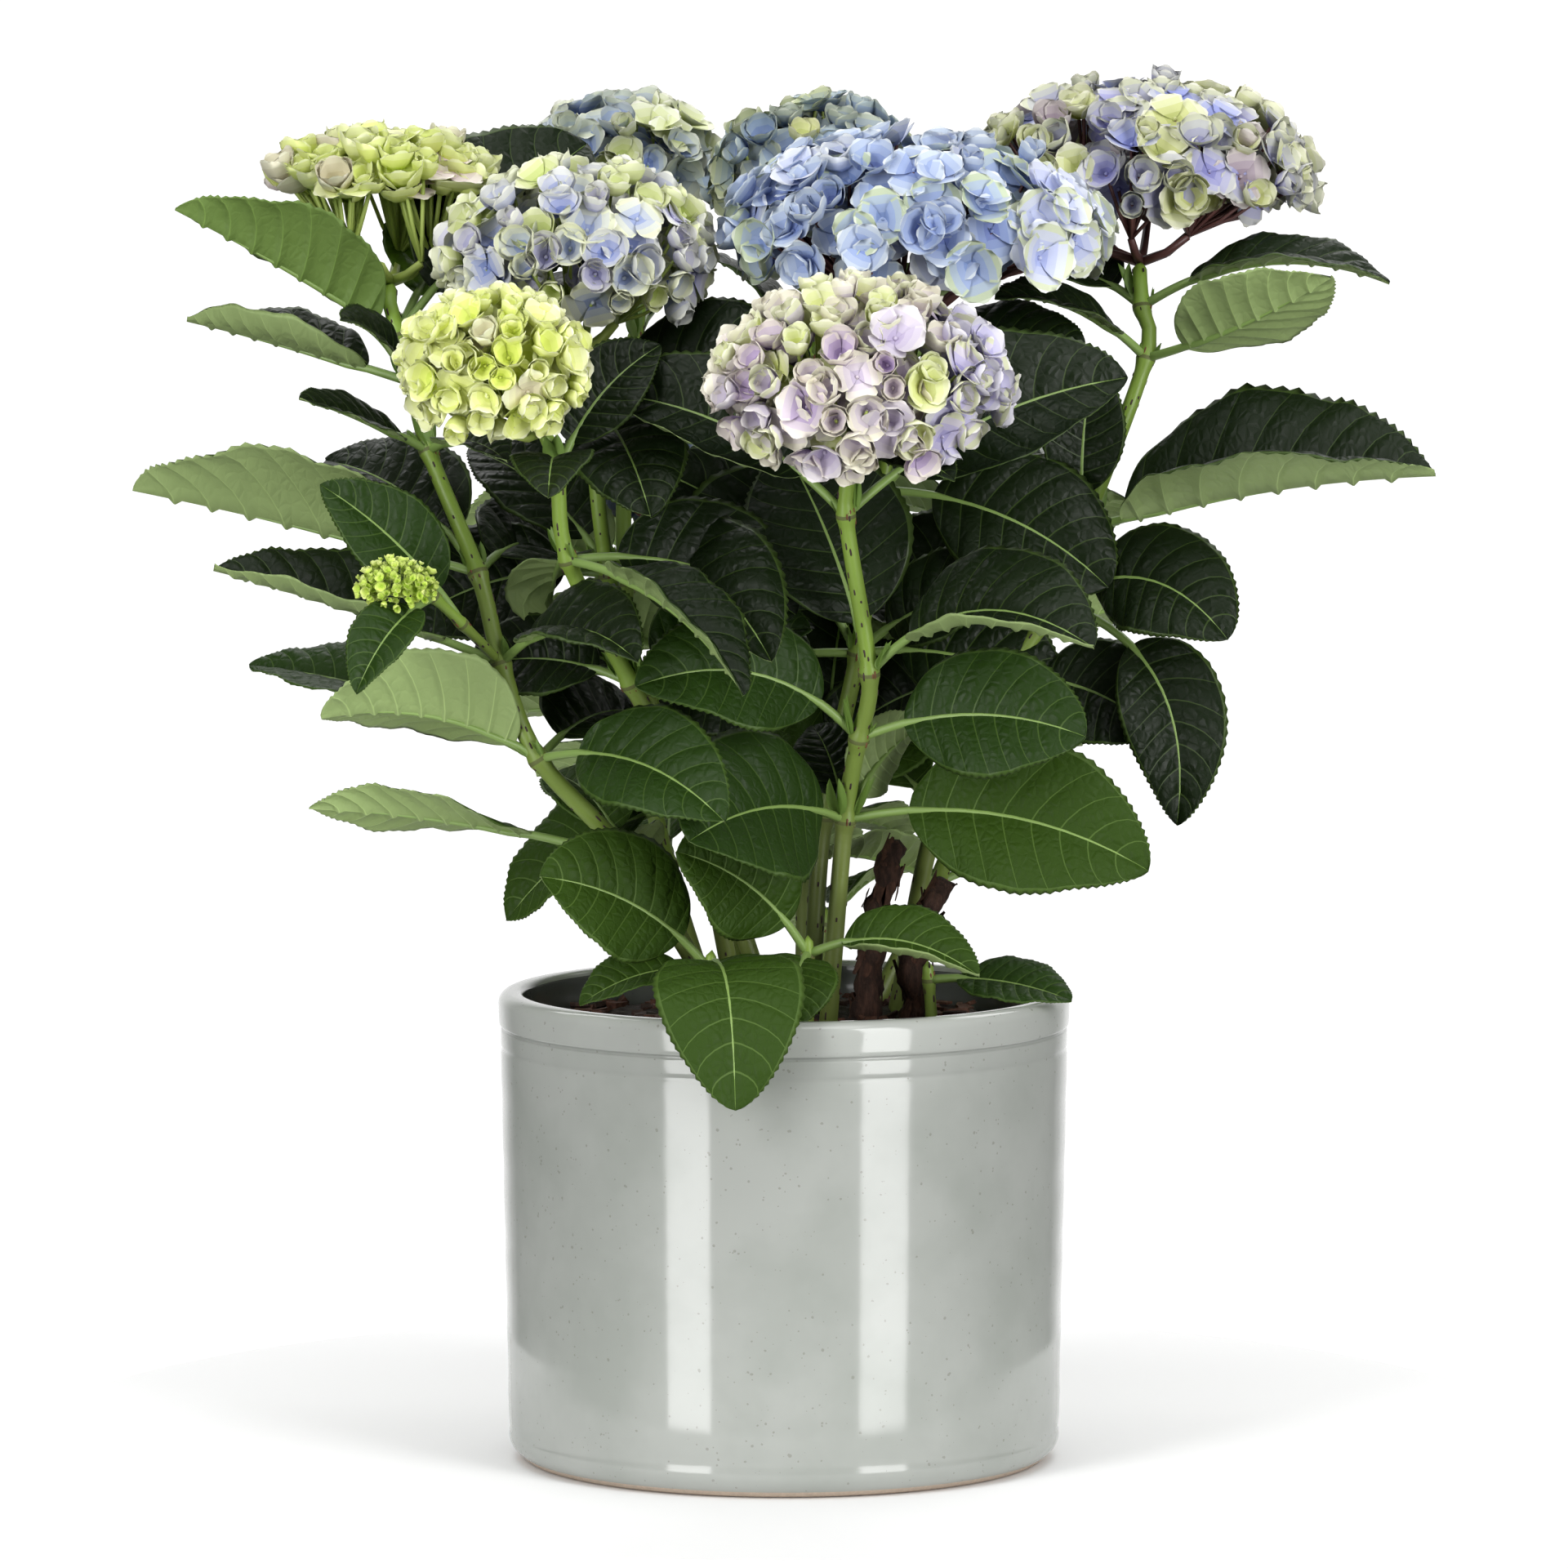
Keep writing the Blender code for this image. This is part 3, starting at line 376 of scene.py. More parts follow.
# Petal tints in sRGB: how often each set falls, then throat, inner, middle and outer part, and rim.
PETAL_SETS = {
    "lime": (
        (5, (190, 208, 86), (204, 218, 106), (214, 224, 128), (220, 228, 150), (229, 234, 184)),
        (3, (200, 213, 110), (212, 222, 134), (220, 227, 156), (226, 231, 176), (233, 236, 199)),
        (1, (190, 182, 146), (204, 195, 168), (214, 207, 182), (221, 216, 192), (230, 227, 206)),
        (1, (180, 162, 170), (200, 181, 182), (211, 197, 194), (220, 210, 202), (230, 225, 214))),
    "lime_pale": (
        (5, (207, 221, 102), (220, 230, 124), (229, 237, 144), (235, 241, 168), (243, 246, 202)),
        (4, (213, 221, 128), (223, 229, 148), (231, 236, 168), (235, 239, 186), (243, 245, 213)),
        (1, (201, 192, 168), (213, 206, 178), (222, 219, 185), (229, 230, 196), (238, 239, 212))),
    "bud": (
        (3, (176, 206, 72), (194, 218, 90), (207, 227, 108), (216, 232, 126), (225, 238, 148)),
        (1, (190, 212, 88), (206, 223, 108), (217, 230, 128), (225, 236, 148), (232, 240, 170))),
    "sky": (
        (5, (113, 130, 187), (133, 151, 198), (153, 169, 205), (173, 186, 209), (205, 212, 218)),
        (4, (123, 142, 193), (145, 162, 202), (165, 179, 207), (185, 196, 211), (212, 217, 220)),
        (4, (125, 146, 193), (149, 166, 203), (167, 182, 197), (185, 197, 167), (209, 216, 197)),
        (2, (147, 160, 203), (169, 180, 213), (187, 194, 217), (203, 208, 218), (221, 224, 225))),
    "sky_lilac": (
        (3, (160, 172, 220), (182, 190, 228), (198, 204, 231), (210, 215, 231), (226, 230, 236)),
        (2, (166, 176, 220), (188, 195, 225), (203, 208, 222), (206, 213, 182), (224, 228, 220))),
    "lavender": (
        (4, (128, 143, 198), (162, 171, 208), (191, 195, 211), (209, 211, 208), (227, 228, 218)),
        (5, (146, 159, 198), (179, 187, 200), (202, 206, 196), (215, 218, 188), (228, 230, 208)),
        (4, (180, 196, 112), (196, 208, 132), (208, 216, 154), (217, 222, 178), (228, 230, 204)),
        (2, (144, 143, 184), (174, 173, 200), (194, 193, 206), (208, 209, 204), (222, 222, 214))),
    "violet": (
        (4, (130, 130, 186), (154, 154, 198), (174, 174, 200), (188, 189, 190), (205, 205, 197)),
        (4, (138, 138, 172), (160, 161, 180), (178, 180, 178), (192, 195, 170), (208, 208, 188)),
        (3, (178, 186, 110), (194, 199, 134), (204, 208, 160), (212, 214, 182), (223, 222, 202)),
        (1, (118, 126, 192), (142, 150, 204), (164, 170, 206), (184, 187, 202), (204, 204, 206)),
        (1, (144, 128, 144), (162, 148, 160), (178, 167, 172), (191, 183, 181), (206, 200, 197))),
    "cream": (
        (5, (158, 138, 180), (184, 166, 198), (206, 194, 206), (222, 214, 206), (236, 231, 218)),
        (5, (182, 170, 192), (204, 194, 204), (218, 211, 206), (227, 223, 204), (238, 235, 218)),
        (3, (206, 214, 130), (218, 225, 152), (226, 231, 176), (231, 234, 196), (238, 239, 216)),
        (2, (160, 146, 182), (188, 178, 196), (206, 200, 204), (212, 214, 180), (231, 231, 208)),
        (1, (176, 164, 194), (190, 180, 202), (200, 192, 207), (209, 203, 207), (224, 219, 218))),
    "lilac": (
        (2, (170, 166, 214), (188, 184, 222), (203, 199, 228), (214, 212, 223), (228, 225, 232)),
        (1, (168, 162, 206), (190, 184, 214), (206, 201, 212), (211, 214, 180), (229, 227, 220))),
    "sea": (
        (4, (124, 144, 197), (152, 168, 201), (174, 184, 192), (190, 197, 183), (207, 210, 200)),
        (3, (146, 160, 183), (168, 180, 183), (184, 192, 181), (196, 202, 181), (210, 214, 202)),
        (2, (178, 190, 121), (193, 201, 143), (203, 209, 165), (210, 214, 187), (221, 221, 207)),
        (2, (114, 136, 201), (138, 158, 209), (162, 177, 206), (182, 192, 198), (201, 206, 209))),
    "sea_blue": (
        (4, (106, 123, 159), (127, 143, 166), (146, 158, 163), (163, 172, 157), (190, 195, 180)),
        (3, (122, 139, 151), (143, 158, 155), (158, 169, 151), (176, 184, 146), (198, 201, 174)),
        (2, (102, 123, 171), (123, 143, 181), (144, 162, 184), (163, 177, 180), (190, 197, 187)),
        (1, (176, 186, 109), (193, 200, 131), (205, 209, 153), (213, 215, 169), (225, 224, 192))),
}

# Forms of floret: the sepals' slope at the eye and at the tip, in degrees, their wrap round the cup,
# the rise of their edges and the width of a sepal.
FLORET_FORMS = {
    "open": (22, -12, 0.12, 0.35, 0.88),
    "dished": (34, 30, 0.30, 0.45, 0.92),
    "half": (26, 74, 0.75, 0.15, 1.0),
    "cup": (16, 104, 0.95, 0.0, 1.02),
    "tight": (30, 106, 1.0, 0.0, 0.94),
}


class Bloom(NamedTuple):
    """A head: the shoot it stands on, its dome, its lean, and the florets it carries."""
    name: str
    shoot: str
    centre: tuple
    reach: tuple
    lean: tuple
    florets: int
    sepal: float
    tints: str
    stalks: str = "lime"
    open_share: float = 0.6
    edge_tints: str = ""
    sweep: float = 112.0
    upright: float = 0.0
    loose: float = 1.0


BLOOMS = (
    Bloom("bloom_left", "left", (-0.119, 0.016, 0.379), (0.038, 0.032, 0.019), (-90, 4),
          52, 0.0128, "lime", "lime", 0.10, sweep=80.0, upright=0.9),
    Bloom("bloom_back_left", "back_left", (-0.050, 0.096, 0.382), (0.034, 0.032, 0.025), (90, 4),
          60, 0.0106, "sea", "lime", 0.35),
    Bloom("bloom_back", "back", (0.009, 0.072, 0.381), (0.034, 0.034, 0.026), (90, 4),
          60, 0.0108, "sea_blue", "lime", 0.45),
    Bloom("bloom_centre", "centre", (0.039, -0.014, 0.364), (0.060, 0.040, 0.035), (-90, 8),
          112, 0.0110, "sky", "russet", 0.75, "sky_lilac", 98.0),
    Bloom("bloom_inner_left", "inner_left", (-0.061, -0.020, 0.359), (0.042, 0.036, 0.031), (-90, 16),
          98, 0.0106, "lavender", "lime", 0.35),
    Bloom("bloom_mid_left", "mid_left", (-0.084, -0.078, 0.330), (0.029, 0.025, 0.023), (-90, 42),
          74, 0.0090, "lime_pale", "lime", 0.08),
    Bloom("bloom_front", "front", (0.022, -0.084, 0.326), (0.045, 0.036, 0.028), (-90, 36),
          112, 0.0104, "cream", "lime", 0.14, "lilac"),
    Bloom("bloom_right", "right", (0.107, 0.048, 0.379), (0.055, 0.042, 0.034), (-90, 6),
          118, 0.0107, "violet", "russet", 0.4, sweep=97.0),
    Bloom("bud_cluster", "left_side", (-0.1125, -0.071, 0.2660), (0.0120, 0.0090, 0.0085), (-90, 30),
          104, 0.0022, "bud", "lime", 0.0, upright=0.5, loose=2.4),
    Bloom("bloom_back_low", "back_low", (-0.035, 0.122, 0.288), (0.032, 0.030, 0.025), (90, 25),
          56, 0.0106, "sky", "russet", 0.7),
    Bloom("bloom_back_right", "back_right", (0.070, 0.110, 0.298), (0.030, 0.028, 0.024), (70, 25),
          56, 0.0102, "lavender", "lime", 0.4),
)

BOX_MARGIN = 0.00015
LEAF_PIECES = (
    ("leaves_at_left", ("left",)),
    ("leaves_at_front", ("front", "low_left", "low_front", "low_right")),
    ("leaves_at_right", ("right",)),
    ("leaves_inside", ("mid_left", "inner_left", "centre")),
    ("leaves_behind", ("back_left", "back", "low_back")),
    ("leaves_low_behind", ("back_low", "back_right")),
)

# ---- camera
CAMERA_LENS = 215.625
SENSOR_WIDTH = 36.0
CAMERA_DISTANCE = 2.8
CAMERA_PITCH = 5.4
CAMERA_AIM = 0.2017

# ---- stage
FLOOR_RADIUS = 0.23
FLOOR_BACK = 0.05
FLOOR_DROP = 0.0005
# The white wall behind fills the surround between these two values of the way looked, from +Y.
WALL_EDGE = (0.80, 0.93)
# Softboxes: place, the point each faces, width and height, and the setting for its brightness.
SOFTBOXES = (
    ("strip_left", (-0.97, -1.21, 0.62), (0.0, 0.0, 0.62), (0.5, 2.0), "strip"),
    ("strip_right", (1.04, -1.21, 0.62), (0.0, 0.0, 0.62), (0.56, 2.0), "strip"),
    ("overhead", (0.0, -0.55, 1.75), (0.0, 0.0, 0.2), (1.5, 1.1), "overhead"),
    ("wash", (0.0, 0.55, 0.95), (0.0, 0.16, 0.0), (1.4, 0.5), "wash"),
)

# ---- colours

def srgb(red, green, blue):
    """A linear colour from sRGB values of 0 to 255."""
    return tuple(v / 255 / 12.92 if v <= 10 else ((v / 255 + 0.055) / 1.055) ** 2.4
                 for v in (red, green, blue))


def colour_property(label, words, value):
    """A colour a user may change."""
    return FloatVectorProperty(name=label, description=words, subtype="COLOR", size=3,
                               min=0.0, max=1.0, default=value)


# ---- settings

class PotSettings(bpy.types.PropertyGroup):
    """The pot's glaze and clay."""
    glaze: colour_property("Glaze", "Main colour of the glaze", srgb(160, 163, 158))
    cloud: colour_property("Cloud", "Tint of the faint clouds in the glaze", srgb(150, 154, 148))
    # Inside: a darker glaze for inside the pot, painted shade.
    speck: colour_property("Speck", "Colour of the dark specks", srgb(104, 101, 90))
    inside: colour_property("Inside", "Darker glaze inside the pot", srgb(100, 103, 100))
    clay: colour_property("Clay", "Unglazed foot", srgb(196, 178, 160))
    soil: colour_property("Soil", "Moist potting soil", srgb(52, 36, 27))
    chip: colour_property("Chips", "Bark chips in the soil", srgb(96, 58, 40))
    turning_steps: IntProperty(name="Turning steps", description="Facets round the pot",
                               default=144, min=24, max=512)


class FoliageSettings(bpy.types.PropertyGroup):
    """Leaves and stems."""
    tooth: FloatProperty(name="Tooth depth", description="How far a tooth stands out of the margin",
                         subtype="DISTANCE", unit="LENGTH", default=0.00075, min=0.0)
    quilt: FloatProperty(name="Quilting", description="How far the blade bulges between its veins",
                         subtype="DISTANCE", unit="LENGTH", default=0.0012, min=0.0)
    dark: colour_property("Old leaf", "Top of a mature leaf", srgb(18, 30, 10))
    mid: colour_property("Leaf", "Top of a leaf", srgb(34, 56, 14))
    fresh: colour_property("Young leaf", "Top of a young leaf", srgb(45, 68, 15))
    lit: colour_property("Lit leaf", "Top of a leaf with the light through it", srgb(76, 106, 26))
    under: colour_property("Underside", "Underside of a leaf", srgb(148, 169, 108))
    vein: colour_property("Veins", "Midribs, veins and leaf stalks", srgb(116, 147, 66))
    stem: colour_property("Stem", "Upper part of a stem", srgb(130, 162, 60))
    old_stem: colour_property("Old stem", "Foot of a stem", srgb(110, 124, 60))
    fleck: colour_property("Flecks", "Dark flecks on the stems", srgb(56, 32, 40))
    scar: colour_property("Scars", "Reddish scars where leaves join a stem", srgb(112, 66, 44))
    bark: colour_property("Bark", "Peeling bark of the woody stubs", srgb(78, 48, 33))


class BloomSettings(bpy.types.PropertyGroup):
    """Flower heads."""
    lime_stalk: colour_property("Lime stalks", "Green flower stalks", srgb(166, 184, 92))
    russet_stalk: colour_property("Russet stalks", "Red-brown flower stalks", srgb(98, 62, 58))
    petal_roughness: FloatProperty(name="Petal roughness", description="Roughness of the sepals",
                                   subtype="FACTOR", default=0.62, min=0.0, max=1.0)


class StageSettings(bpy.types.PropertyGroup):
    """Floor, lights and camera."""
    floor: colour_property("Floor", "Pale floor", srgb(250, 250, 250))
    strip: FloatProperty(name="Strip lights", description="Brightness of each tall softbox",
                         default=7.4, min=0.0)
    overhead: FloatProperty(name="Top light", description="Brightness of the softbox overhead",
                            default=2.6, min=0.0)
    wash: FloatProperty(name="Floor wash", description="Brightness of the softbox over the floor behind",
                        default=3.4, min=0.0)
    backdrop: FloatProperty(name="Backdrop", description="Brightness of the white wall behind",
                            default=1.1, min=0.0)
    sky: FloatProperty(name="Surround", description="Brightness of the grey studio all round",
                       default=0.14, min=0.0)


class HydrangeaSettings(bpy.types.PropertyGroup):
    """All of the plant's settings."""
    pot: PointerProperty(type=PotSettings)
    foliage: PointerProperty(type=FoliageSettings)
    blooms: PointerProperty(type=BloomSettings)
    stage: PointerProperty(type=StageSettings)


# ---- node groups and materials

def new_group(name, inputs, outputs):
    """A shader node group with float, colour or vector sockets; returns it and its two ends."""
    group = bpy.data.node_groups.new(name, "ShaderNodeTree")
    for label, kind, value in inputs:
        made = group.interface.new_socket(label, in_out="INPUT", socket_type=kind)
        if value is not None:
            made.default_value = value
    for label, kind in outputs:
        group.interface.new_socket(label, in_out="OUTPUT", socket_type=kind)
    return group, group.nodes.new("NodeGroupInput"), group.nodes.new("NodeGroupOutput")


def noise_node(group, source, scale, detail=3.0, roughness=0.55):
    """A noise texture on a vector socket, its scale a number or a socket."""
    node = group.nodes.new("ShaderNodeTexNoise")
    node.inputs["Detail"].default_value = detail
    node.inputs["Roughness"].default_value = roughness
    group.links.new(source, node.inputs["Vector"])
    if isinstance(scale, (int, float)):
        node.inputs["Scale"].default_value = scale
    else:
        group.links.new(scale, node.inputs["Scale"])
    return node


def range_node(group, source, from_low, from_high, to_low, to_high):
    """A clamped map range; each limit is a number or a socket."""
    node = group.nodes.new("ShaderNodeMapRange")
    group.links.new(source, node.inputs["Value"])
    limits = (("From Min", from_low), ("From Max", from_high), ("To Min", to_low), ("To Max", to_high))
    for label, value in limits:
        if isinstance(value, (int, float)):
            node.inputs[label].default_value = value
        else:
            group.links.new(value, node.inputs[label])
    return node


def mix_node(group, factor, low, high):
    """A colour mix of two sockets by a factor socket."""
    node = group.nodes.new("ShaderNodeMix")
    node.data_type = "RGBA"
    group.links.new(factor, node.inputs["Factor"])
    group.links.new(low, node.inputs["A"])
    group.links.new(high, node.inputs["B"])
    return node


def math_node(group, operation, first, second):
    """A math node of a socket and a socket or number."""
    node = group.nodes.new("ShaderNodeMath")
    node.operation = operation
    group.links.new(first, node.inputs[0])
    if isinstance(second, (int, float)):
        node.inputs[1].default_value = second
    else:
        group.links.new(second, node.inputs[1])
    return node


def relief_group():
    """Fine grain: a height and a roughness that wander between two values."""
    group, taken, given = new_group("fine_relief", (
        ("Vector", "NodeSocketVector", None), ("Scale", "NodeSocketFloat", 400.0),
        ("Low", "NodeSocketFloat", 0.4), ("High", "NodeSocketFloat", 0.6)),
        (("Height", "NodeSocketFloat"), ("Roughness", "NodeSocketFloat")))
    grain = noise_node(group, taken.outputs["Vector"], taken.outputs["Scale"])
    broad = noise_node(group, taken.outputs["Vector"], 60.0, 2.0)
    rough = range_node(group, broad.outputs["Fac"], 0.3, 0.7, taken.outputs["Low"], taken.outputs["High"])
    group.links.new(grain.outputs["Fac"], given.inputs["Height"])
    group.links.new(rough.outputs["Result"], given.inputs["Roughness"])
    return group


def net_group():
    """The net of small veins: cells sunk at their borders, with a roughness that follows them."""
    group, taken, given = new_group("vein_net", (
        ("Vector", "NodeSocketVector", None), ("Scale", "NodeSocketFloat", 3.2),
        ("Low", "NodeSocketFloat", 0.3), ("High", "NodeSocketFloat", 0.5)),
        (("Height", "NodeSocketFloat"), ("Roughness", "NodeSocketFloat")))
    cells = group.nodes.new("ShaderNodeTexVoronoi")
    cells.feature = "DISTANCE_TO_EDGE"
    cells.inputs["Randomness"].default_value = 0.8
    group.links.new(taken.outputs["Vector"], cells.inputs["Vector"])
    group.links.new(taken.outputs["Scale"], cells.inputs["Scale"])
    swell = range_node(group, cells.outputs["Distance"], 0.0, 0.28, 0.0, 1.0)
    grain = noise_node(group, taken.outputs["Vector"], 22.0, 3.0)
    small = math_node(group, "MULTIPLY", grain.outputs["Fac"], 0.25)
    height = math_node(group, "ADD", swell.outputs["Result"], small.outputs["Value"])
    rough = range_node(group, swell.outputs["Result"], 0.0, 1.0, taken.outputs["High"],
                       taken.outputs["Low"])
    group.links.new(height.outputs["Value"], given.inputs["Height"])
    group.links.new(rough.outputs["Result"], given.inputs["Roughness"])
    return group


def glaze_group():
    """Glaze: faint clouds, specks and small ripples."""
    group, taken, given = new_group("glaze", (
        ("Vector", "NodeSocketVector", None), ("Glaze", "NodeSocketColor", None),
        ("Cloud", "NodeSocketColor", None), ("Speck", "NodeSocketColor", None)),
        (("Color", "NodeSocketColor"), ("Roughness", "NodeSocketFloat"), ("Height", "NodeSocketFloat")))
    place = taken.outputs["Vector"]
    clouds = noise_node(group, place, 26.0, 4.0)
    cloudy = range_node(group, clouds.outputs["Fac"], 0.42, 0.66, 0.0, 1.0)
    base = mix_node(group, cloudy.outputs["Result"], taken.outputs["Glaze"], taken.outputs["Cloud"])
    dots = group.nodes.new("ShaderNodeTexVoronoi")
    dots.inputs["Scale"].default_value = 620.0
    group.links.new(place, dots.inputs["Vector"])
    size = noise_node(group, place, 420.0, 1.0)
    limit = range_node(group, size.outputs["Fac"], 0.52, 0.75, 0.0, 0.34)
    inside = math_node(group, "LESS_THAN", dots.outputs["Distance"], limit.outputs["Result"])
    faint = math_node(group, "MULTIPLY", inside.outputs["Value"], 0.42)
    specked = mix_node(group, faint.outputs["Value"], base.outputs["Result"], taken.outputs["Speck"])
    ripple = noise_node(group, place, 42.0, 2.0)
    rough = range_node(group, clouds.outputs["Fac"], 0.3, 0.7, 0.08, 0.13)
    group.links.new(specked.outputs["Result"], given.inputs["Color"])
    group.links.new(rough.outputs["Result"], given.inputs["Roughness"])
    group.links.new(ripple.outputs["Fac"], given.inputs["Height"])
    return group


def crumb_group():
    """Crumbly or fibrous stuff: two colours by noise, matt, with a rough height."""
    group, taken, given = new_group("crumb", (
        ("Vector", "NodeSocketVector", None), ("Scale", "NodeSocketFloat", 300.0),
        ("Dark", "NodeSocketColor", None), ("Light", "NodeSocketColor", None)),
        (("Color", "NodeSocketColor"), ("Roughness", "NodeSocketFloat"), ("Height", "NodeSocketFloat")))
    grain = noise_node(group, taken.outputs["Vector"], taken.outputs["Scale"], 6.0, 0.7)
    light = range_node(group, grain.outputs["Fac"], 0.42, 0.68, 0.0, 1.0)
    colour = mix_node(group, light.outputs["Result"], taken.outputs["Dark"], taken.outputs["Light"])
    rough = range_node(group, grain.outputs["Fac"], 0.3, 0.7, 0.95, 0.7)
    group.links.new(colour.outputs["Result"], given.inputs["Color"])
    group.links.new(rough.outputs["Result"], given.inputs["Roughness"])
    group.links.new(grain.outputs["Fac"], given.inputs["Height"])
    return group


def shared_group(name, maker):
    """The node group of that name, made at its first use."""
    return bpy.data.node_groups.get(name) or maker()


def material(name, group, values, bump, distance, colour=None, coordinates="Object", stretch=None,
             shine=0.5):
    """A Principled material whose group feeds roughness, relief and, where it makes one, colour."""
    found = bpy.data.materials.get(name)
    if found is not None:
        return found
    made = bpy.data.materials.new(name)
    made.use_nodes = True
    tree = made.node_tree
    shader = tree.nodes["Principled BSDF"]
    shader.inputs["Specular IOR Level"].default_value = shine
    if coordinates == "Object":
        place = tree.nodes.new("ShaderNodeTexCoord").outputs["Object"]
    else:
        reader = tree.nodes.new("ShaderNodeUVMap")
        reader.uv_map = coordinates
        place = reader.outputs["UV"]
    if stretch is not None:
        mapping = tree.nodes.new("ShaderNodeMapping")
        mapping.inputs["Scale"].default_value = stretch
        tree.links.new(place, mapping.inputs["Vector"])
        place = mapping.outputs["Vector"]
    used = tree.nodes.new("ShaderNodeGroup")
    used.node_tree = group
    tree.links.new(place, used.inputs["Vector"])
    for label, value in values.items():
        used.inputs[label].default_value = value
    tree.links.new(used.outputs["Roughness"], shader.inputs["Roughness"])
    relief = tree.nodes.new("ShaderNodeBump")
    relief.inputs["Strength"].default_value = bump
    relief.inputs["Distance"].default_value = distance
    tree.links.new(used.outputs["Height"], relief.inputs["Height"])
    tree.links.new(relief.outputs["Normal"], shader.inputs["Normal"])
    if colour is None:
        tree.links.new(used.outputs["Color"], shader.inputs["Base Color"])
    else:
        shader.inputs["Base Color"].default_value = (*colour, 1.0)
    return made


def toned(colour, share):
    """A colour with its brightness multiplied."""
    return tuple(min(1.0, value * share) for value in colour)


def blended(first, second, share):
    """A colour part of the way from one to another."""
    return tuple(a + (b - a) * share for a, b in zip(first, second))


def glazed(name, glaze, cloud, speck):
    """Glaze in its three colours."""
    values = {"Glaze": (*glaze, 1.0), "Cloud": (*cloud, 1.0), "Speck": (*speck, 1.0)}
    return material(name, shared_group("glaze", glaze_group), values, 0.15, 0.0004)


def crumbly(name, dark, light, scale, bump, distance, stretch=None):
    """Crumbly or fibrous stuff in two colours."""
    values = {"Scale": scale, "Dark": (*dark, 1.0), "Light": (*light, 1.0)}
    return material(name, shared_group("crumb", crumb_group), values, bump, distance, stretch=stretch)


def fine_grained(name, colour, scale, low, high, bump=0.2, distance=0.0003):
    """One colour with a fine grain, its roughness between low and high."""
    values = {"Scale": scale, "Low": low, "High": high}
    return material(name, shared_group("fine_relief", relief_group), values, bump, distance, tuple(colour))


# ---- growth: paths, bows and frames

def direction(bearing, rise):
    """Unit vector at a compass bearing from +X towards +Y, lifted by rise, both in degrees."""
    flat = math.cos(math.radians(rise))
    return Vector((flat * math.cos(math.radians(bearing)), flat * math.sin(math.radians(bearing)),
                   math.sin(math.radians(rise))))


def smooth_path(knots, steps):
    """Points on the smooth curve through the knots, steps to a span."""
    points = [Vector(k) for k in knots]
    before = [points[0] * 2 - points[1]] + points[:-1]
    after = points[1:] + [points[-1] * 2 - points[-2]]
    path = []
    for i in range(len(points) - 1):
        a, b = points[i], points[i + 1]
        leave = (after[i] - before[i]) / 2
        arrive = (after[i + 1] - before[i + 1]) / 2
        for step in range(steps):
            t = step / steps
            path.append(a * (2 * t ** 3 - 3 * t ** 2 + 1) + leave * (t ** 3 - 2 * t ** 2 + t)
                        + b * (3 * t ** 2 - 2 * t ** 3) + arrive * (t ** 3 - t ** 2))
    path.append(points[-1])
    return path


def stem_end(shoot):
    """Where a shoot's stem ends, a little past its last knot, and the way it points there."""
    top = Vector(shoot.knots[-1])
    along = (top - Vector(shoot.knots[-2])).normalized()
    return top + along * STEM_LEAD, along


def leaf_bow(root, leaf, t):
    """Points on the bow from knot to tip for an array of shares t, as an array of places."""
    chord = np.array(direction(leaf.bearing, leaf.rise))
    up = np.array(UP)
    lift = up - chord * (up @ chord)
    lift /= np.linalg.norm(lift)
    t = np.asarray(t, float)[..., None]
    bowed = lift * leaf.reach * leaf.arch * 4 * t * (1 - t)
    return np.array(root) + chord * leaf.reach * t + bowed


def leaf_axes(root, leaf, t, light):
    """Place, across and normal for an array of shares t, the normal turned towards the light."""
    step = 0.01
    along = leaf_bow(root, leaf, t + step) - leaf_bow(root, leaf, t - step)
    along /= np.linalg.norm(along, axis=-1, keepdims=True)
    turn = np.radians(leaf.turn + leaf.twist * t)[..., None]
    normal = np.array(UP) * np.cos(turn) + np.array(light) * np.sin(turn)
    normal = normal - along * np.sum(normal * along, axis=-1, keepdims=True)
    normal /= np.linalg.norm(normal, axis=-1, keepdims=True)
    return leaf_bow(root, leaf, t), np.cross(normal, along), normal


def half_width(share, fullness=0.0):
    """Half width of a blade at a share of its length, 1 at the widest: ovate, or elliptical if full."""
    return np.sin(np.pi * np.clip(share, 0.0, 1.0) ** (0.78 + 0.14 * fullness)) ** (0.74 - 0.12 * fullness)


def rule_shoot(name, foot, top, bow, count, seed, light_bearing):
    """A shoot with evenly spaced knots on a bowed path and crosswise pairs of leaves at each."""
    draw = random.Random(seed)
    start = Vector((*foot, SOIL_TOP))
    rise = Vector(top) - start
    knots = [start]
    leaves = {}
    for i in range(1, count + 1):
        share = i / count - (TOP_KNOT_DROP if i == count else 0.0)
        swell = 4 * share * (1 - share)
        knots.append(start + rise * share + Vector((*bow, 0.0)) * swell)
        bearing = light_bearing + 45 + 90 * i + draw.uniform(-BACK_SWING, BACK_SWING)
        tilt = BACK_RISE_LOW + (BACK_RISE_HIGH - BACK_RISE_LOW) * share
        leaves[i] = tuple(
            Leaf(bearing + 180 * half, tilt + draw.uniform(-BACK_TILT, BACK_TILT),
                 BACK_PAIR_REACH * (0.8 + 0.2 * share) * draw.uniform(0.9, 1.1), draw.uniform(20, 50),
                 draw.uniform(10, 22), draw.uniform(0.56, 0.68), draw.uniform(0.08, 0.16))
            for half in (0, 1))
    return Shoot(name, tuple(knots), leaves, light=direction(light_bearing, 0))


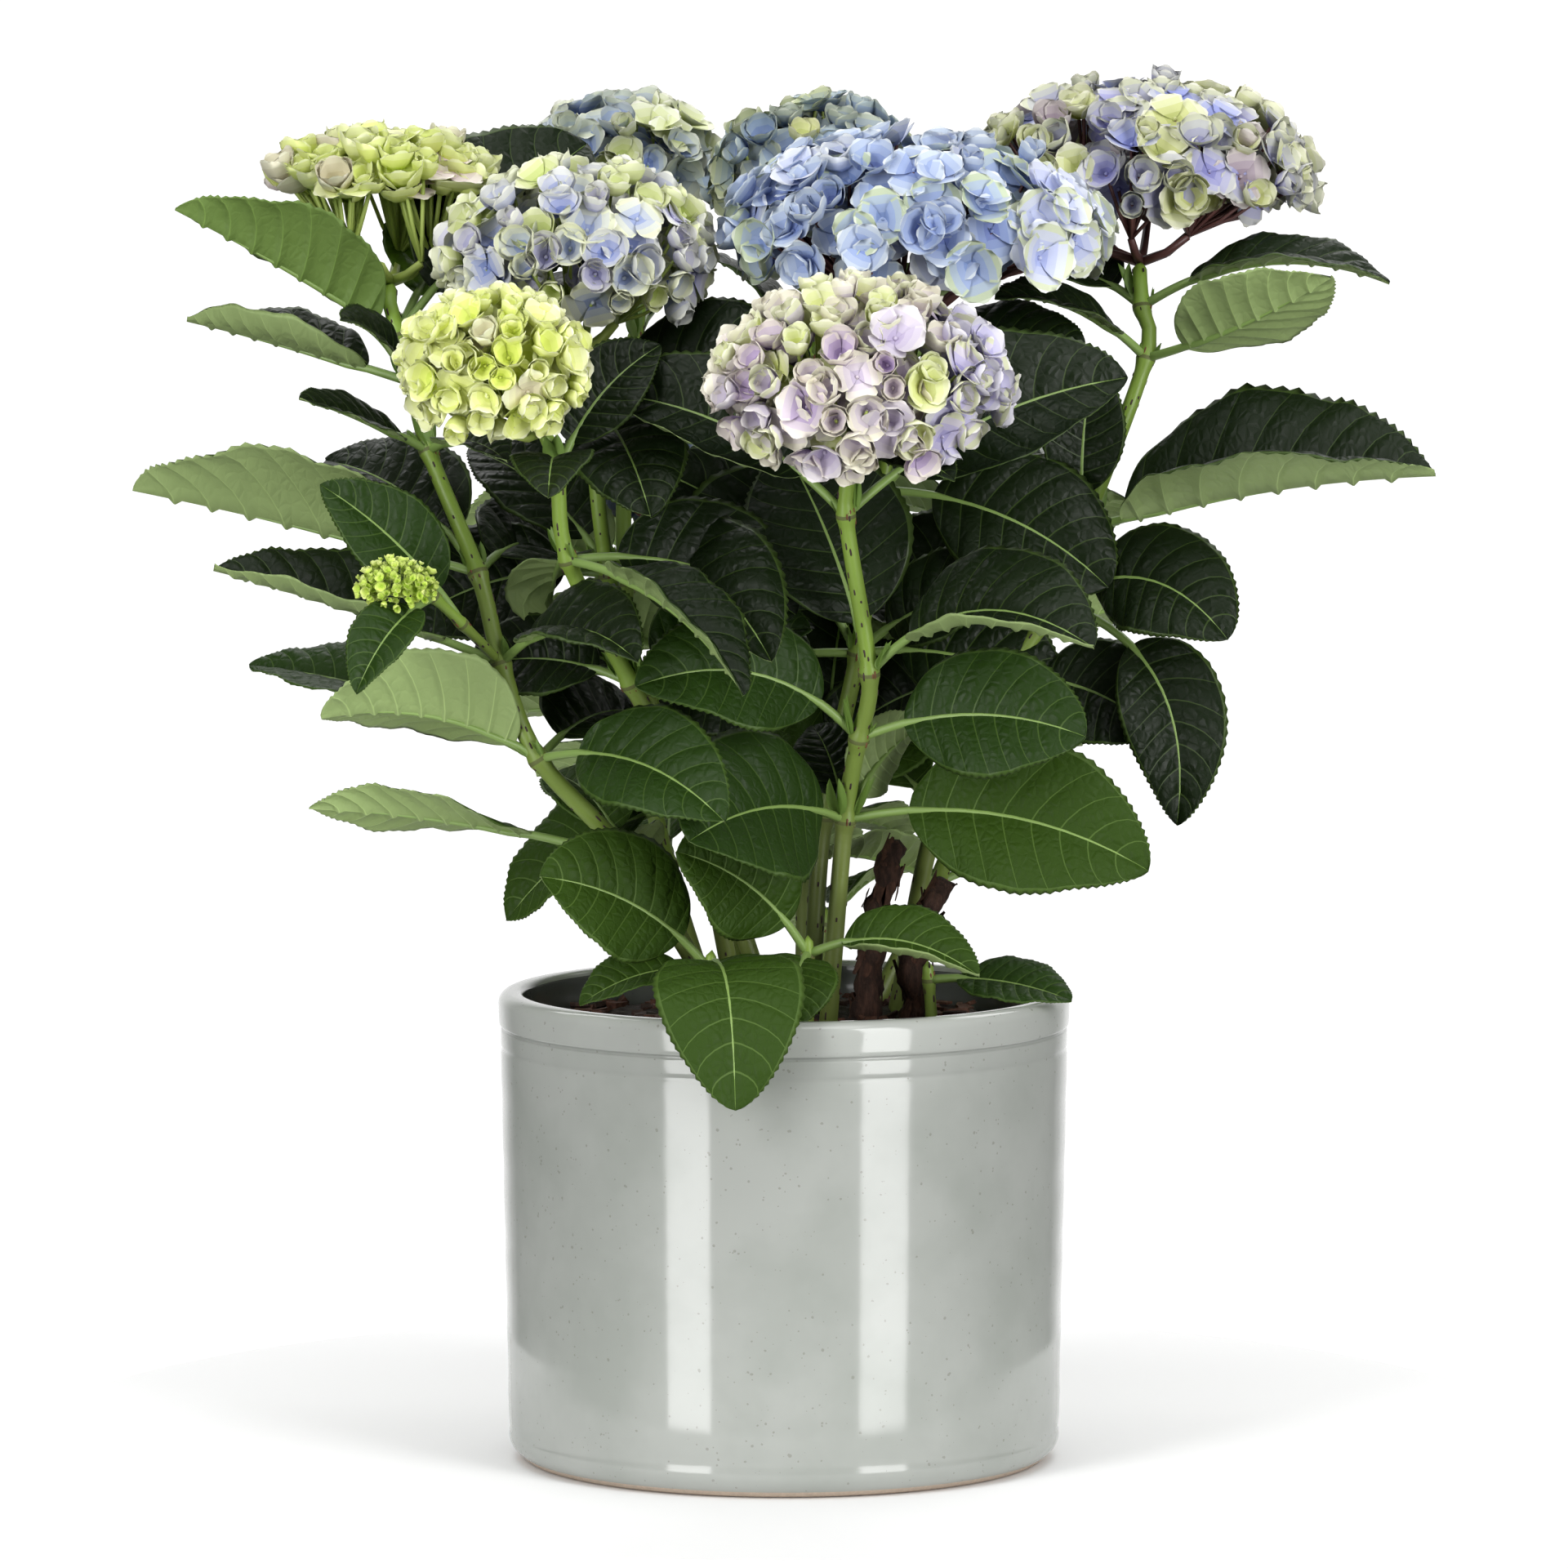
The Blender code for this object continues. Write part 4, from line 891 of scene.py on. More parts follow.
def settled(root, leaf, skin):
    """The leaf by whichever of the source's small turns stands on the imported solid; else None."""
    best = (STAND_LIMIT, None)
    for swing, lift in NUDGES:
        tried = leaf._replace(bearing=leaf.bearing + swing, rise=leaf.rise + lift)
        marks = leaf_bow(root, tried, np.array((0.55, 0.8, 1.0)))
        miss = max(skin.find_nearest(Vector(mark))[3] for mark in marks)
        if miss < best[0]:
            best = (miss, tried)
    return best[1]


def node_skin(name):
    """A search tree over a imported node's faces."""
    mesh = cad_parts[name].data
    corners = [tuple(vert.co) for vert in mesh.vertices]
    return BVHTree.FromPolygons(corners, [tuple(face.vertices) for face in mesh.polygons])


TALL = [LEFT, FRONT_SHOOT, MID_LEFT, INNER_LEFT, CENTRE, RIGHT]
TALL += [rule_shoot(*row) for row in BACK_SHOOTS]
LOW = [LOW_LEFT, LOW_FRONT, LOW_RIGHT, LOW_BACK]


def all_leaves():
    """Every leaf that stands: its mass, shoot, knot and number there, root and settled form."""
    found = []
    for shoot in TALL + LOW:
        skin = node_skin("leaves_" + shoot.name)
        for part in [shoot] + ([LEFT_SIDE] if shoot is LEFT else []):
            for knot, leaves in part.leaves.items():
                root = Vector(part.knots[knot])
                for number, leaf in enumerate(leaves):
                    held = settled(root, leaf, skin)
                    if held is not None:
                        found.append((shoot.name, part, (knot, number), root, held))
    shoots = {shoot.name: shoot for shoot in TALL}
    for name, knot, leaf in INNER_LEAVES:
        found.append((name, shoots[name], (knot, -1), Vector(shoots[name].knots[knot]), leaf))
    return found


# ---- making pieces

def finish_piece(name, work, materials, nodes):
    """A smooth piece from a bmesh that stands for the CAD nodes and rides with the root body."""
    mesh = bpy.data.meshes.new(name)
    work.to_mesh(mesh)
    work.free()
    for one in materials:
        mesh.materials.append(one)
    mesh.shade_smooth()
    made = bpy.data.objects.new(name, mesh)
    bpy.context.scene.collection.objects.link(made)
    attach(made, "root")
    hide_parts(*nodes)
    return made


def kept_inside(points):
    """The points moved back together by as much as they reach out of the solids' box."""
    low, high = np.array(CAD_BOX[0]) + BOX_MARGIN, np.array(CAD_BOX[1]) - BOX_MARGIN
    flat = points.reshape(-1, 3)
    return points + np.maximum(low - flat.min(axis=0), 0.0) - np.maximum(flat.max(axis=0) - high, 0.0)


def stamp(work, mesh, points, kinds):
    """Adds a copy of a template mesh with its own places and material indices."""
    mesh.vertices.foreach_set("co", np.ascontiguousarray(points, dtype=np.float32).ravel())
    mesh.polygons.foreach_set("material_index", np.ascontiguousarray(kinds, dtype=np.int32))
    work.from_mesh(mesh)


SHAPES = {}
"""Shapes used again and again, by name, as a mesh with what its maker noted of its vertices."""


def tube_shape(sides, rings):
    """A ball of so many rings, with the ring and bearing of each vertex and the first ring of each face."""
    key = ("tube", sides, rings)
    if key not in SHAPES:
        work = bmesh.new()
        bmesh.ops.create_uvsphere(work, u_segments=sides, v_segments=rings, radius=1.0)
        level = [round(math.acos(max(-1.0, min(1.0, -v.co.z))) / math.pi * rings) for v in work.verts]
        bearing = [math.atan2(v.co.y, v.co.x) for v in work.verts]
        start = [min(level[v.index] for v in face.verts) for face in work.faces]
        mesh = bpy.data.meshes.new("tube")
        work.to_mesh(mesh)
        work.free()
        SHAPES[key] = mesh, np.array(level), np.array(bearing), np.array(start)
    return SHAPES[key]


def drawn_tube(work, path, radii, sides, slots):
    """A closed tube: a ball whose rings are moved to the path's points, widened by the radii."""
    mesh, level, bearing, start = tube_shape(sides, len(path) - 1)
    across = None
    frames = []
    for i, place in enumerate(path):
        along = (path[min(i + 1, len(path) - 1)] - path[max(i - 1, 0)]).normalized()
        if across is None:
            across = along.orthogonal().normalized()
        across = (across - along * across.dot(along)).normalized()
        frames.append((*place, *across, *along.cross(across)))
    frames = np.array(frames)[level]
    reach = np.array([0.0, *radii[1:-1], 0.0])[level][:, None]
    sweep = frames[:, 3:6] * np.cos(bearing)[:, None] + frames[:, 6:9] * np.sin(bearing)[:, None]
    stamp(work, mesh, frames[:, 0:3] + sweep * reach, np.array(slots)[start])


def drawn_rod(work, start, end, start_radius, end_radius, slot, bow=0.0):
    """A thin stalk between two points, bowed downwards in its middle."""
    sag = UP * (-bow * (end - start).length)
    path = [start, start.lerp(end, 0.02), start.lerp(end, 0.5) + sag, start.lerp(end, 0.98), end]
    middle = (start_radius + end_radius) / 2
    drawn_tube(work, path, [0, start_radius, middle, end_radius, 0], 5, [slot] * 5)


# ---- the leaf blade

def blade_rows():
    """Arrays over a blade's rows: share of the midrib, side of a vein, place between veins, tooth."""
    rows = [(0.0, 0, 0.0, 0)]
    ends = [0.0, *LATERALS, 1.0]
    for number, (a, b) in enumerate(zip(ends, ends[1:])):
        if number:
            rows.append((a, 1, 0.0, 1))
        for i in range(1, INNER_ROWS + 1):
            v = i / (INNER_ROWS + 1)
            rows.append((a + (b - a) * v, 0, v, 1 if i % 2 == 0 else -1))
        if number < len(LATERALS):
            rows.append((b, -1, 0.0, 1))
    rows.append((1.0, 0, 0.0, 0))
    return [np.array(column, float)[:, None] for column in zip(*rows)]


def blade_template():
    """The blade's two-layer grid, with the row, column and layer of each vertex and each face's kind."""
    share, side, _, _ = blade_rows()
    columns = np.array([-u for u in reversed(COLUMNS)] + list(COLUMNS))
    last_row, last_column = len(share) - 1, len(columns) - 1
    work = bmesh.new()
    layers = work.verts.layers.int.new("layer")
    for layer in (0, 1):
        made = bmesh.ops.create_grid(work, x_segments=last_row, y_segments=last_column, size=1.0)
        for vert in made["verts"]:
            vert[layers] = layer
        if layer:
            bmesh.ops.reverse_faces(work, faces=list({f for v in made["verts"] for f in v.link_faces}))
    places = [(round((v.co.x + 1) / 2 * last_row), round((v.co.y + 1) / 2 * last_column), v[layers])
              for v in work.verts]
    kinds = []
    for face in work.faces:
        row = min(places[v.index][0] for v in face.verts)
        column = min(places[v.index][1] for v in face.verts)
        layer = places[face.verts[0].index][2]
        on_rib = column == last_column // 2
        near = abs(columns[column] + columns[column + 1]) / 2
        on_vein = side[row, 0] < 0 < side[row + 1, 0] and near < VEIN_FADE
        if layer:
            kinds.append(UNDER_VEIN if on_rib or on_vein else UNDER)
        elif on_rib or on_vein:
            kinds.append(MIDRIB if on_rib else LATERAL)
        else:
            kinds.append(MARGIN if column in (0, last_column - 1) else BLADE)
    mesh = bpy.data.meshes.new("blade")
    work.to_mesh(mesh)
    work.free()
    mesh.uv_layers.new(name="leaf")
    return mesh, np.array(places), np.array(kinds), columns


def ramp(value, low, high):
    """A smooth step from 0 at low to 1 at high."""
    t = np.clip((value - low) / (high - low), 0.0, 1.0)
    return t * t * (3 - 2 * t)


def blade_points(root, leaf, light, columns, tooth, quilt, draw, lip):
    """Places of the blade's grid, rows by columns, for its top and its underside, and its flat map."""
    share, side, between, point = blade_rows()
    u = np.abs(columns)[None, :]
    sign = np.sign(columns)[None, :]
    length = leaf.reach * (1 - leaf.stalk)
    widest = length * leaf.width / 2
    size = length / USUAL_BLADE
    edge = (u == 1.0) * 1.0
    s = share + side * VEIN_HALF * (1 - 0.6 * u) / length
    s = np.clip(s + SWEEP * 4 * share * (1 - share) * u ** 1.3, 0.0, 1.0)
    half = widest * half_width(s, min(1.0, max(0.0, (leaf.width - FULL_FROM) / FULL_OVER)))
    rib = RIB_HALF * size * (1 - 0.8 * s)
    spread = rib + np.maximum(half - rib, 0.0) * (u - COLUMNS[0]) / (1 - COLUMNS[0])
    middle = leaf_axes(root, leaf, np.array([0.5]), light)[1][0]
    near = (np.sign(middle @ np.array(FRONT)) == sign) * (lip > 0)
    toothed = edge * ramp(s, *TEETH_START) * (1 - ramp(s, *TEETH_END)) * point * (1 - LIP_EASE * near)
    spread = spread + np.where(toothed > 0, TOOTH_OUT, TOOTH_IN) * toothed * tooth * size
    s = np.clip(s + np.maximum(toothed, 0.0) * TOOTH_LEAN * tooth * size / length, 0.0, 1.0)
    t = leaf.stalk + (1 - leaf.stalk) * s
    place, across, normal = leaf_axes(root, leaf, t, light)
    lift = math.tan(math.radians(leaf.fold)) * (spread - rib) * (1 + FOLD_OPENING - FOLD_OPENING * u ** 2)
    phase = draw.uniform(0, 6.28)
    ruffle = sum(np.sin(2 * np.pi * (waves * s + shift * sign) + phase) * u ** power * height * length
                 for waves, shift, power, height in RUFFLES)
    swell = np.sin(np.pi * between) ** 0.7 * ramp(u, 0.02, 0.2) * (1 - 0.25 * u) * (1 - ramp(u, 0.86, 1.0))
    swell = swell * quilt * size * ramp(s, 0.02, 0.14) * (1 - 0.7 * ramp(s, 0.8, 1.0))
    curled = np.maximum(u - LIP_START, 0.0) / (1 - LIP_START) * near
    spread = spread * (1 - LIP_DRAW * curled)
    lift = lift + lip * curled ** 1.2 * np.sin(np.pi * np.clip(s, 0.02, 0.98)) ** 0.5
    droop = np.array([draw.uniform(*DROOP_RANGE), draw.uniform(*DROOP_RANGE)])[(sign > 0).astype(int)]
    lift = lift + droop * half * u ** 3
    sunk = -RIB_SINK * size * (u == COLUMNS[0])
    skin = BLADE_SKIN / 2 * (1 - edge) * ramp(s, -0.001, 0.02)
    ribbed = np.abs(side) * (1 - ramp(u, 0.6, 1.0)) * VEIN_RELIEF * size
    centre = place + across * (sign * spread)[..., None]
    top = centre + normal * (lift + ruffle + swell + sunk + skin)[..., None]
    low = swell * UNDERSIDE_SWELL + 1.4 * sunk - skin - ribbed
    bottom = centre + normal * (lift + ruffle + low)[..., None]
    flat = np.stack([s * length * 100 + draw.uniform(0, 50), sign * spread * 100], axis=-1)
    return top, bottom, flat


def add_blade(work, template, root, leaf, light, tone, settings, draw, lip):
    """Stamps one blade into a bmesh."""
    mesh, places, kinds, columns = template
    quilt = settings.quilt * TONES[tone].quilt
    top, bottom, flat = blade_points(root, leaf, light, columns, settings.tooth, quilt, draw, lip)
    rows, cols, layers = places.T
    points = kept_inside(np.where(layers[:, None] == 0, top[rows, cols], bottom[rows, cols]))
    corners = np.empty(len(mesh.loops), dtype=np.int32)
    mesh.loops.foreach_get("vertex_index", corners)
    mesh.uv_layers["leaf"].data.foreach_set("uv", flat[rows, cols][corners].astype(np.float32).ravel())
    stamp(work, mesh, points, kinds + tone * BLADE_KINDS)


# ---- the floret

def floret_shape(form):
    """Four sepals round an eye, each sepal a grid bent to the form's profile and wrapped round its cup."""
    foot, tip, wrap, edge, width = FLORET_FORMS[form]
    work = bmesh.new()
    rings, columns = len(SEPAL_RINGS) - 1, len(SEPAL_COLUMNS) - 1
    for sepal in range(4):
        made = bmesh.ops.create_grid(work, x_segments=rings, y_segments=columns, size=1.0)
        turn = Matrix.Rotation(math.radians(90 * sepal), 3, "Z")
        share = 1.0 if sepal % 2 else SHORT_SEPAL
        cells = {}
        for vert in made["verts"]:
            i = round((vert.co.x + 1) / 2 * rings)
            j = round((vert.co.y + 1) / 2 * columns)
            cells[vert] = (i, j)
            x = SEPAL_COLUMNS[j]
            r = SEPAL_RINGS[i] * (1 - 0.10 * x * x * SEPAL_RINGS[i] ** 2)
            steps = [math.radians(foot + (tip - foot) * r * (k + 0.5) / PROFILE_STEPS)
                     for k in range(PROFILE_STEPS)]
            out = sum(math.cos(a) for a in steps) * r / PROFILE_STEPS
            rise = sum(math.sin(a) for a in steps) * r / PROFILE_STEPS
            side = x * SEPAL_HALF_WIDTHS[i] * width
            bend = max(out, NARROWEST_CUP) / wrap
            swept = side / bend
            out -= bend * (1 - math.cos(swept))
            if sepal % 2:
                rise += 0.2 * edge * side * side - 0.07 * min(1.0, r * 3)
                out += 0.06 * min(1.0, r * 3) * wrap
            else:
                rise += edge * side * side
            vert.co = turn @ Vector((out, bend * math.sin(swept), rise)) * share
        for face in {f for v in made["verts"] for f in v.link_faces}:
            i = min(cells[v][0] for v in face.verts)
            j = min(cells[v][1] for v in face.verts)
            face.material_index = min(i + 1, 4) if j in (0, columns - 1) and i > 1 else i
    eye = bmesh.ops.create_cone(work, cap_ends=True, segments=5, radius1=0.075, radius2=0.04, depth=0.09)
    for vert in eye["verts"]:
        vert.co.z += EYE_HEIGHT
    for face in {f for v in eye["verts"] for f in v.link_faces}:
        face.material_index = 1
    mesh = bpy.data.meshes.new("floret")
    work.to_mesh(mesh)
    work.free()
    points = np.empty(len(mesh.vertices) * 3, dtype=np.float32)
    mesh.vertices.foreach_get("co", points)
    kinds = np.empty(len(mesh.polygons), dtype=np.int32)
    mesh.polygons.foreach_get("material_index", kinds)
    return mesh, points.reshape(-1, 3), kinds


def head_axes(bloom):
    """The dome's own axes, leaned over towards a bearing."""
    bearing, angle = bloom.lean
    return Matrix.Rotation(math.radians(angle), 3, UP.cross(direction(bearing, 0)))


def floret_places(bloom):
    """Centre, outward way, size, aim and chance of each floret: a dome and a sparse one inside."""
    draw = random.Random(bloom.name)
    centre, axes, reach = Vector(bloom.centre), head_axes(bloom), Vector(bloom.reach)
    sweep = math.radians(bloom.sweep)
    found = []
    for depth, share in DOMES:
        count = round(bloom.florets * share)
        for i in range(count):
            polar = math.acos(1 - (1 - math.cos(sweep)) * (i + 0.5) / count)
            aim = direction(i * GOLDEN_ANGLE + depth * 300 + draw.uniform(-8, 8),
                            90 - math.degrees(polar) + draw.uniform(-5, 5))
            out = Vector(a / b for a, b in zip(aim, reach)).normalized()
            size = bloom.sepal * (0.99 + 0.15 * bloom.loose * draw.uniform(-1, 1))
            skin = Vector(a * b for a, b in zip(aim, reach))
            sunk = skin - out * (size * (0.75 + 0.2 * bloom.loose * draw.uniform(-1, 1)) + reach.z * depth)
            wander = Vector(draw.gauss(0, 0.17) * bloom.loose for _ in range(3))
            tip = (out + UP * bloom.upright + wander).normalized()
            found.append((centre + axes @ sunk, axes @ tip, size, aim, draw.random()))
    return found


def head_stem(bloom, shoot):
    """The head's stalk above its shoot: where it starts, its way there, its heart and its fork."""
    top, along = stem_end(shoot)
    heart = Vector(bloom.centre) - head_axes(bloom) @ Vector((0.0, 0.0, bloom.reach[2] * HEART_DROP))
    return top, along, heart, top + (heart - top) * FORK_SHARE


SHOOT_BY_NAME = {shoot.name: shoot for shoot in TALL + [LEFT_SIDE]}
"""Shoots that carry a head, by name."""


# ---- operators

class HYDRANGEA_OT_pot(bpy.types.Operator):
    """Turns the glazed pot"""
    bl_idname = "hydrangea.make_pot"
    bl_label = "Make pot"

    def execute(self, context):
        options = context.scene.hydrangea.pot
        bead, groove = POT_HEIGHT - BEAD_HEIGHT, POT_HEIGHT - GROOVE_DROP
        inner = RIM_RADIUS - WALL

        def arc(x, z, radius, start, end, steps):
            """Points of an arc in the profile plane."""
            angles = (math.radians(start + (end - start) * i / steps) for i in range(steps + 1))
            return [(x + radius * math.cos(a), z + radius * math.sin(a)) for a in angles]

        profile = [(0.0, WELL_FLOOR), (inner - 0.001, WELL_FLOOR), (inner, POT_HEIGHT - 0.004)]
        profile += arc(inner + LIP_ROUND_INSIDE, POT_HEIGHT - LIP_ROUND_INSIDE, LIP_ROUND_INSIDE,
                       180, 92, 5)
        profile += arc(RIM_RADIUS - LIP_ROUND_OUTSIDE, POT_HEIGHT - LIP_ROUND_OUTSIDE,
                       LIP_ROUND_OUTSIDE, 86, 0, 8)
        profile += [(RIM_RADIUS, POT_HEIGHT - 0.006), (RIM_RADIUS - 0.0001, bead + 0.0022)]
        profile += arc(RIM_RADIUS - 0.0012, bead + 0.0012, BEAD_ROUND, 0, -80, 4)
        profile += [(SHOULDER_RADIUS - 0.0007, bead - 0.0001)]
        profile += arc(SHOULDER_RADIUS - SHOULDER_ROUND, bead - 2 * SHOULDER_ROUND, SHOULDER_ROUND,
                       90, 0, 3)
        profile += [(SHOULDER_RADIUS, groove + GROOVE_HALF), (SHOULDER_RADIUS - 0.0002, groove + 0.0006),
                    (SHOULDER_RADIUS - GROOVE_DEPTH, groove), (SHOULDER_RADIUS - 0.0002, groove - 0.0006),
                    (SHOULDER_RADIUS, groove - GROOVE_HALF)]
        for i in range(1, THROWING_RINGS):
            share = i / THROWING_RINGS
            radius = SHOULDER_RADIUS + (HEEL_RADIUS - SHOULDER_RADIUS) * share
            height = groove - GROOVE_HALF + (HEEL_TOP - groove + GROOVE_HALF) * share
            profile.append((radius + THROWING_RIPPLE * math.sin(i * 2.2), height))
        profile += [(HEEL_RADIUS, HEEL_TOP - 0.0005)]
        profile += arc(HEEL_RADIUS - HEEL_ROUND, 0.0068, HEEL_ROUND, 18, -58, 8)
        profile += [(FOOT_RADIUS, 0.0006), (FOOT_RADIUS - 0.0008, 0.0), (0.0, 0.0)]

        work = bmesh.new()
        verts = [work.verts.new((radius, 0.0, height)) for radius, height in profile]
        edges = [work.edges.new(pair) for pair in zip(verts, verts[1:])]
        bmesh.ops.spin(work, geom=verts + edges, cent=(0, 0, 0), axis=(0, 0, 1), angle=math.tau,
                       steps=options.turning_steps, use_merge=True)
        bmesh.ops.remove_doubles(work, verts=work.verts, dist=MERGE)
        bmesh.ops.recalc_face_normals(work, faces=work.faces)
        for face in work.faces:
            middle = face.calc_center_median()
            # Faces inside the pot take a darker glaze: painted shade.
            is_painted_shade_inside = middle.xy.length < inner + 0.0001 and middle.z > 0.05
            # Faces on the rim take a paler glaze: painted light.
            is_painted_light_rim = middle.z > bead + 0.0002
            face.material_index = 1 if middle.z < CLAY_TOP else 2 if is_painted_shade_inside else 3 if is_painted_light_rim else 0
        glaze = glazed("pot_glaze", options.glaze, options.cloud, options.speck)
        clay = crumbly("bare_clay", toned(options.clay, 0.8), options.clay, 700.0, 0.3, 0.0003)
        # The darker glaze inside the pot is painted shade.
        inside = glazed("pot_glaze_inside", options.inside, toned(options.inside, 0.85),
                        toned(options.inside, 0.7))
        # The paler glaze on the rim is painted light.
        rim_painted_light = toned(options.glaze, RIM_PAINTED_LIGHT)
        rim = glazed("pot_glaze_rim", rim_painted_light, toned(rim_painted_light, 0.92), options.speck)
        finish_piece("glazed_pot", work, [glaze, clay, inside, rim], ["pot"])
        return {"FINISHED"}


class HYDRANGEA_OT_soil(bpy.types.Operator):
    """Fills the pot with crumbly soil and bark chips"""
    bl_idname = "hydrangea.make_soil"
    bl_label = "Make soil"

    def execute(self, context):
        options = context.scene.hydrangea.pot
        draw = random.Random(5)
        inner = RIM_RADIUS - WALL - GAP
        work = bmesh.new()
        shares = [i / SOIL_RINGS for i in range(SOIL_RINGS + 1)]
        profile = [(inner * share, SOIL_TOP - SOIL_EDGE_DROP * share ** 6) for share in shares]
        profile += [(inner, SOIL_TOP - SOIL_BURIED), (0.0, SOIL_TOP - SOIL_BURIED)]
        verts = [work.verts.new((radius, 0.0, height)) for radius, height in profile]
        edges = [work.edges.new(pair) for pair in zip(verts, verts[1:])]
        bmesh.ops.spin(work, geom=verts + edges, cent=(0, 0, 0), axis=(0, 0, 1), angle=math.tau,
                       steps=SOIL_STEPS, use_merge=True)
        bmesh.ops.remove_doubles(work, verts=work.verts, dist=MERGE)
        bmesh.ops.recalc_face_normals(work, faces=work.faces)
        for vert in work.verts:
            if vert.co.z > SOIL_TOP - 0.01 and vert.co.xy.length < inner * 0.99:
                vert.co.z += sum(noise.noise(vert.co * fine) * high for fine, high in SOIL_LUMPS)
        for _ in range(CHIP_COUNT):
            bearing, radius = draw.uniform(0, 360), inner * math.sqrt(draw.uniform(0.0, 0.9))
            place = direction(bearing, 0) * radius + UP * (SOIL_TOP - 0.002 * (radius / inner) ** 4)
            made = bmesh.ops.create_cube(work, size=1.0)
            size = Vector(draw.uniform(*limits) for limits in CHIP_SIZES)
            turn = Matrix.Rotation(draw.uniform(0, 6.28), 3, "Z")
            turn = turn @ Matrix.Rotation(draw.gauss(0, 0.4), 3, "X")
            for vert in made["verts"]:
                local = Vector(a * b for a, b in zip(vert.co, size))
                local *= draw.uniform(0.75, 1.1)
                vert.co = place + turn @ local + UP * CHIP_LIFT
            chip = list({f for v in made["verts"] for f in v.link_faces})
            shade = draw.choice((1, 1, 2))
            for face in chip:
                face.material_index = shade
        earth = crumbly("potting_soil", toned(options.soil, 0.4), options.soil, 420.0, 0.9, 0.0012)
        chip = crumbly("bark_chip", toned(options.chip, 0.5), options.chip, 500.0, 0.6, 0.0006)
        dark_chip = crumbly("dark_chip", toned(options.chip, 0.2), toned(options.chip, 0.5), 500.0,
                            0.6, 0.0006)
        made = finish_piece("potting_soil", work, [earth, chip, dark_chip], ["soil"])
        made.data.shade_flat()
        return {"FINISHED"}


class HYDRANGEA_OT_stems(bpy.types.Operator):
    """Grows the jointed green stems, up to the forks of their heads"""
    bl_idname = "hydrangea.make_stems"
    bl_label = "Make stems"

    def execute(self, context):
        options = context.scene.hydrangea.foliage
        draw = random.Random(11)
        work = bmesh.new()
        heads = {bloom.shoot: bloom for bloom in BLOOMS}
        for shoot in TALL + LOW + [LEFT_SIDE]:
            coarse = smooth_path(shoot.knots, 12)
            end, along = stem_end(shoot)
            coarse.append(end)
            if shoot.name in heads:
                _, _, _, fork = head_stem(heads[shoot.name], shoot)
                coarse += [end + along * 0.004, fork]
            if shoot is not LEFT_SIDE:
                coarse.insert(0, coarse[0] - UP * STEM_BURIED)
            self.add_stem(work, shoot, coarse, draw)
        finishes = [fine_grained(f"stem_{i}", blended(options.old_stem, options.stem, share), 900.0,
                                 0.36, 0.52, 0.25) for i, share in enumerate(SHADE_STEPS)]
        finishes += [
            fine_grained("stem_joint", blended(options.old_stem, options.fleck, 0.35), 1200.0,
                         0.6, 0.8, 0.4, 0.0004),
            fine_grained("stem_fleck", options.fleck, 1200.0, 0.5, 0.7, 0.3),
            fine_grained("stem_scar", options.scar, 1200.0, 0.5, 0.7, 0.3)]
        names = ["stem_" + shoot.name for shoot in TALL]
        finish_piece("green_stems", work, finishes, names)
        return {"FINISHED"}

    def add_stem(self, work, shoot, coarse, draw):
        """One stem: rings every few millimetres, closer at its knots, with flecks and leaf scars."""
        lengths = [0.0]
        for a, b in zip(coarse, coarse[1:]):
            lengths.append(lengths[-1] + (b - a).length)
        total = lengths[-1]

        def at(distance):
            """The place at a distance along the path."""
            i = max(1, min(len(lengths) - 1, sum(length < distance for length in lengths)))
            span = max(lengths[i] - lengths[i - 1], 1e-9)
            return coarse[i - 1].lerp(coarse[i], (distance - lengths[i - 1]) / span)

        knots = []
        for knot in shoot.knots[1:]:
            nearest = min(range(len(coarse)), key=lambda i: (coarse[i] - Vector(knot)).length)
            knots.append(lengths[nearest])
        count = max(6, round(total / RING_STEP))
        marks = {total * i / count for i in range(count + 1)}
        for knot in knots:
            marks = {m for m in marks if abs(m - knot) > JOINT_CLEAR or m in (0.0, total)}
            marks |= {knot + step for step in JOINT_RINGS if 0.0 < knot + step < total}
        marks = sorted(marks)
        path = [at(m) for m in marks]
        radii = []
        for m in marks:
            base = shoot.foot_radius + (shoot.top_radius - shoot.foot_radius) * m / total
            swell = sum(math.exp(-((m - knot) / JOINT_LENGTH) ** 2) for knot in knots)
            radii.append(base * (1 + JOINT_SWELL * min(swell, 1.0)) * STEM_SLIMMING)
        slots = []
        for a, b in zip(marks, marks[1:]):
            middle = (a + b) / 2
            below = sum(knot < middle for knot in knots)
            slot = min(3, round(3 * (below + 0.6) / len(shoot.knots)))
            if any(abs(middle - knot) < JOINT_HALF for knot in knots):
                slot = JOINT_SLOT
            slots.append(slot)
        drawn_tube(work, path, radii, STEM_SIDES, slots)
        flecks = round(total / FLECK_SPACING)
        places = [(draw.uniform(0.02, 0.98) * total, FLECK_SLOT) for _ in range(flecks)]
        places += [(knot + draw.uniform(-SCAR_SPREAD, SCAR_SPREAD), SCAR_SLOT)
                   for knot in knots for _ in range(SCARS_PER_KNOT)]
        for where, slot in places:
            i = max(1, min(len(marks) - 1, sum(m < where for m in marks)))
            along = (path[i] - path[i - 1]).normalized()
            side = Matrix.Rotation(draw.uniform(0, 6.28), 3, along) @ along.orthogonal().normalized()
            centre = at(where) + side * min(radii[i], radii[i - 1]) * 0.97
            half = along * draw.uniform(0.0004, 0.0015)
            drawn_tube(work, [centre - half, centre - half * 0.6, centre + half * 0.6, centre + half],
                       [0, FLECK_RADIUS, FLECK_RADIUS, 0], 5, [slot] * 4)


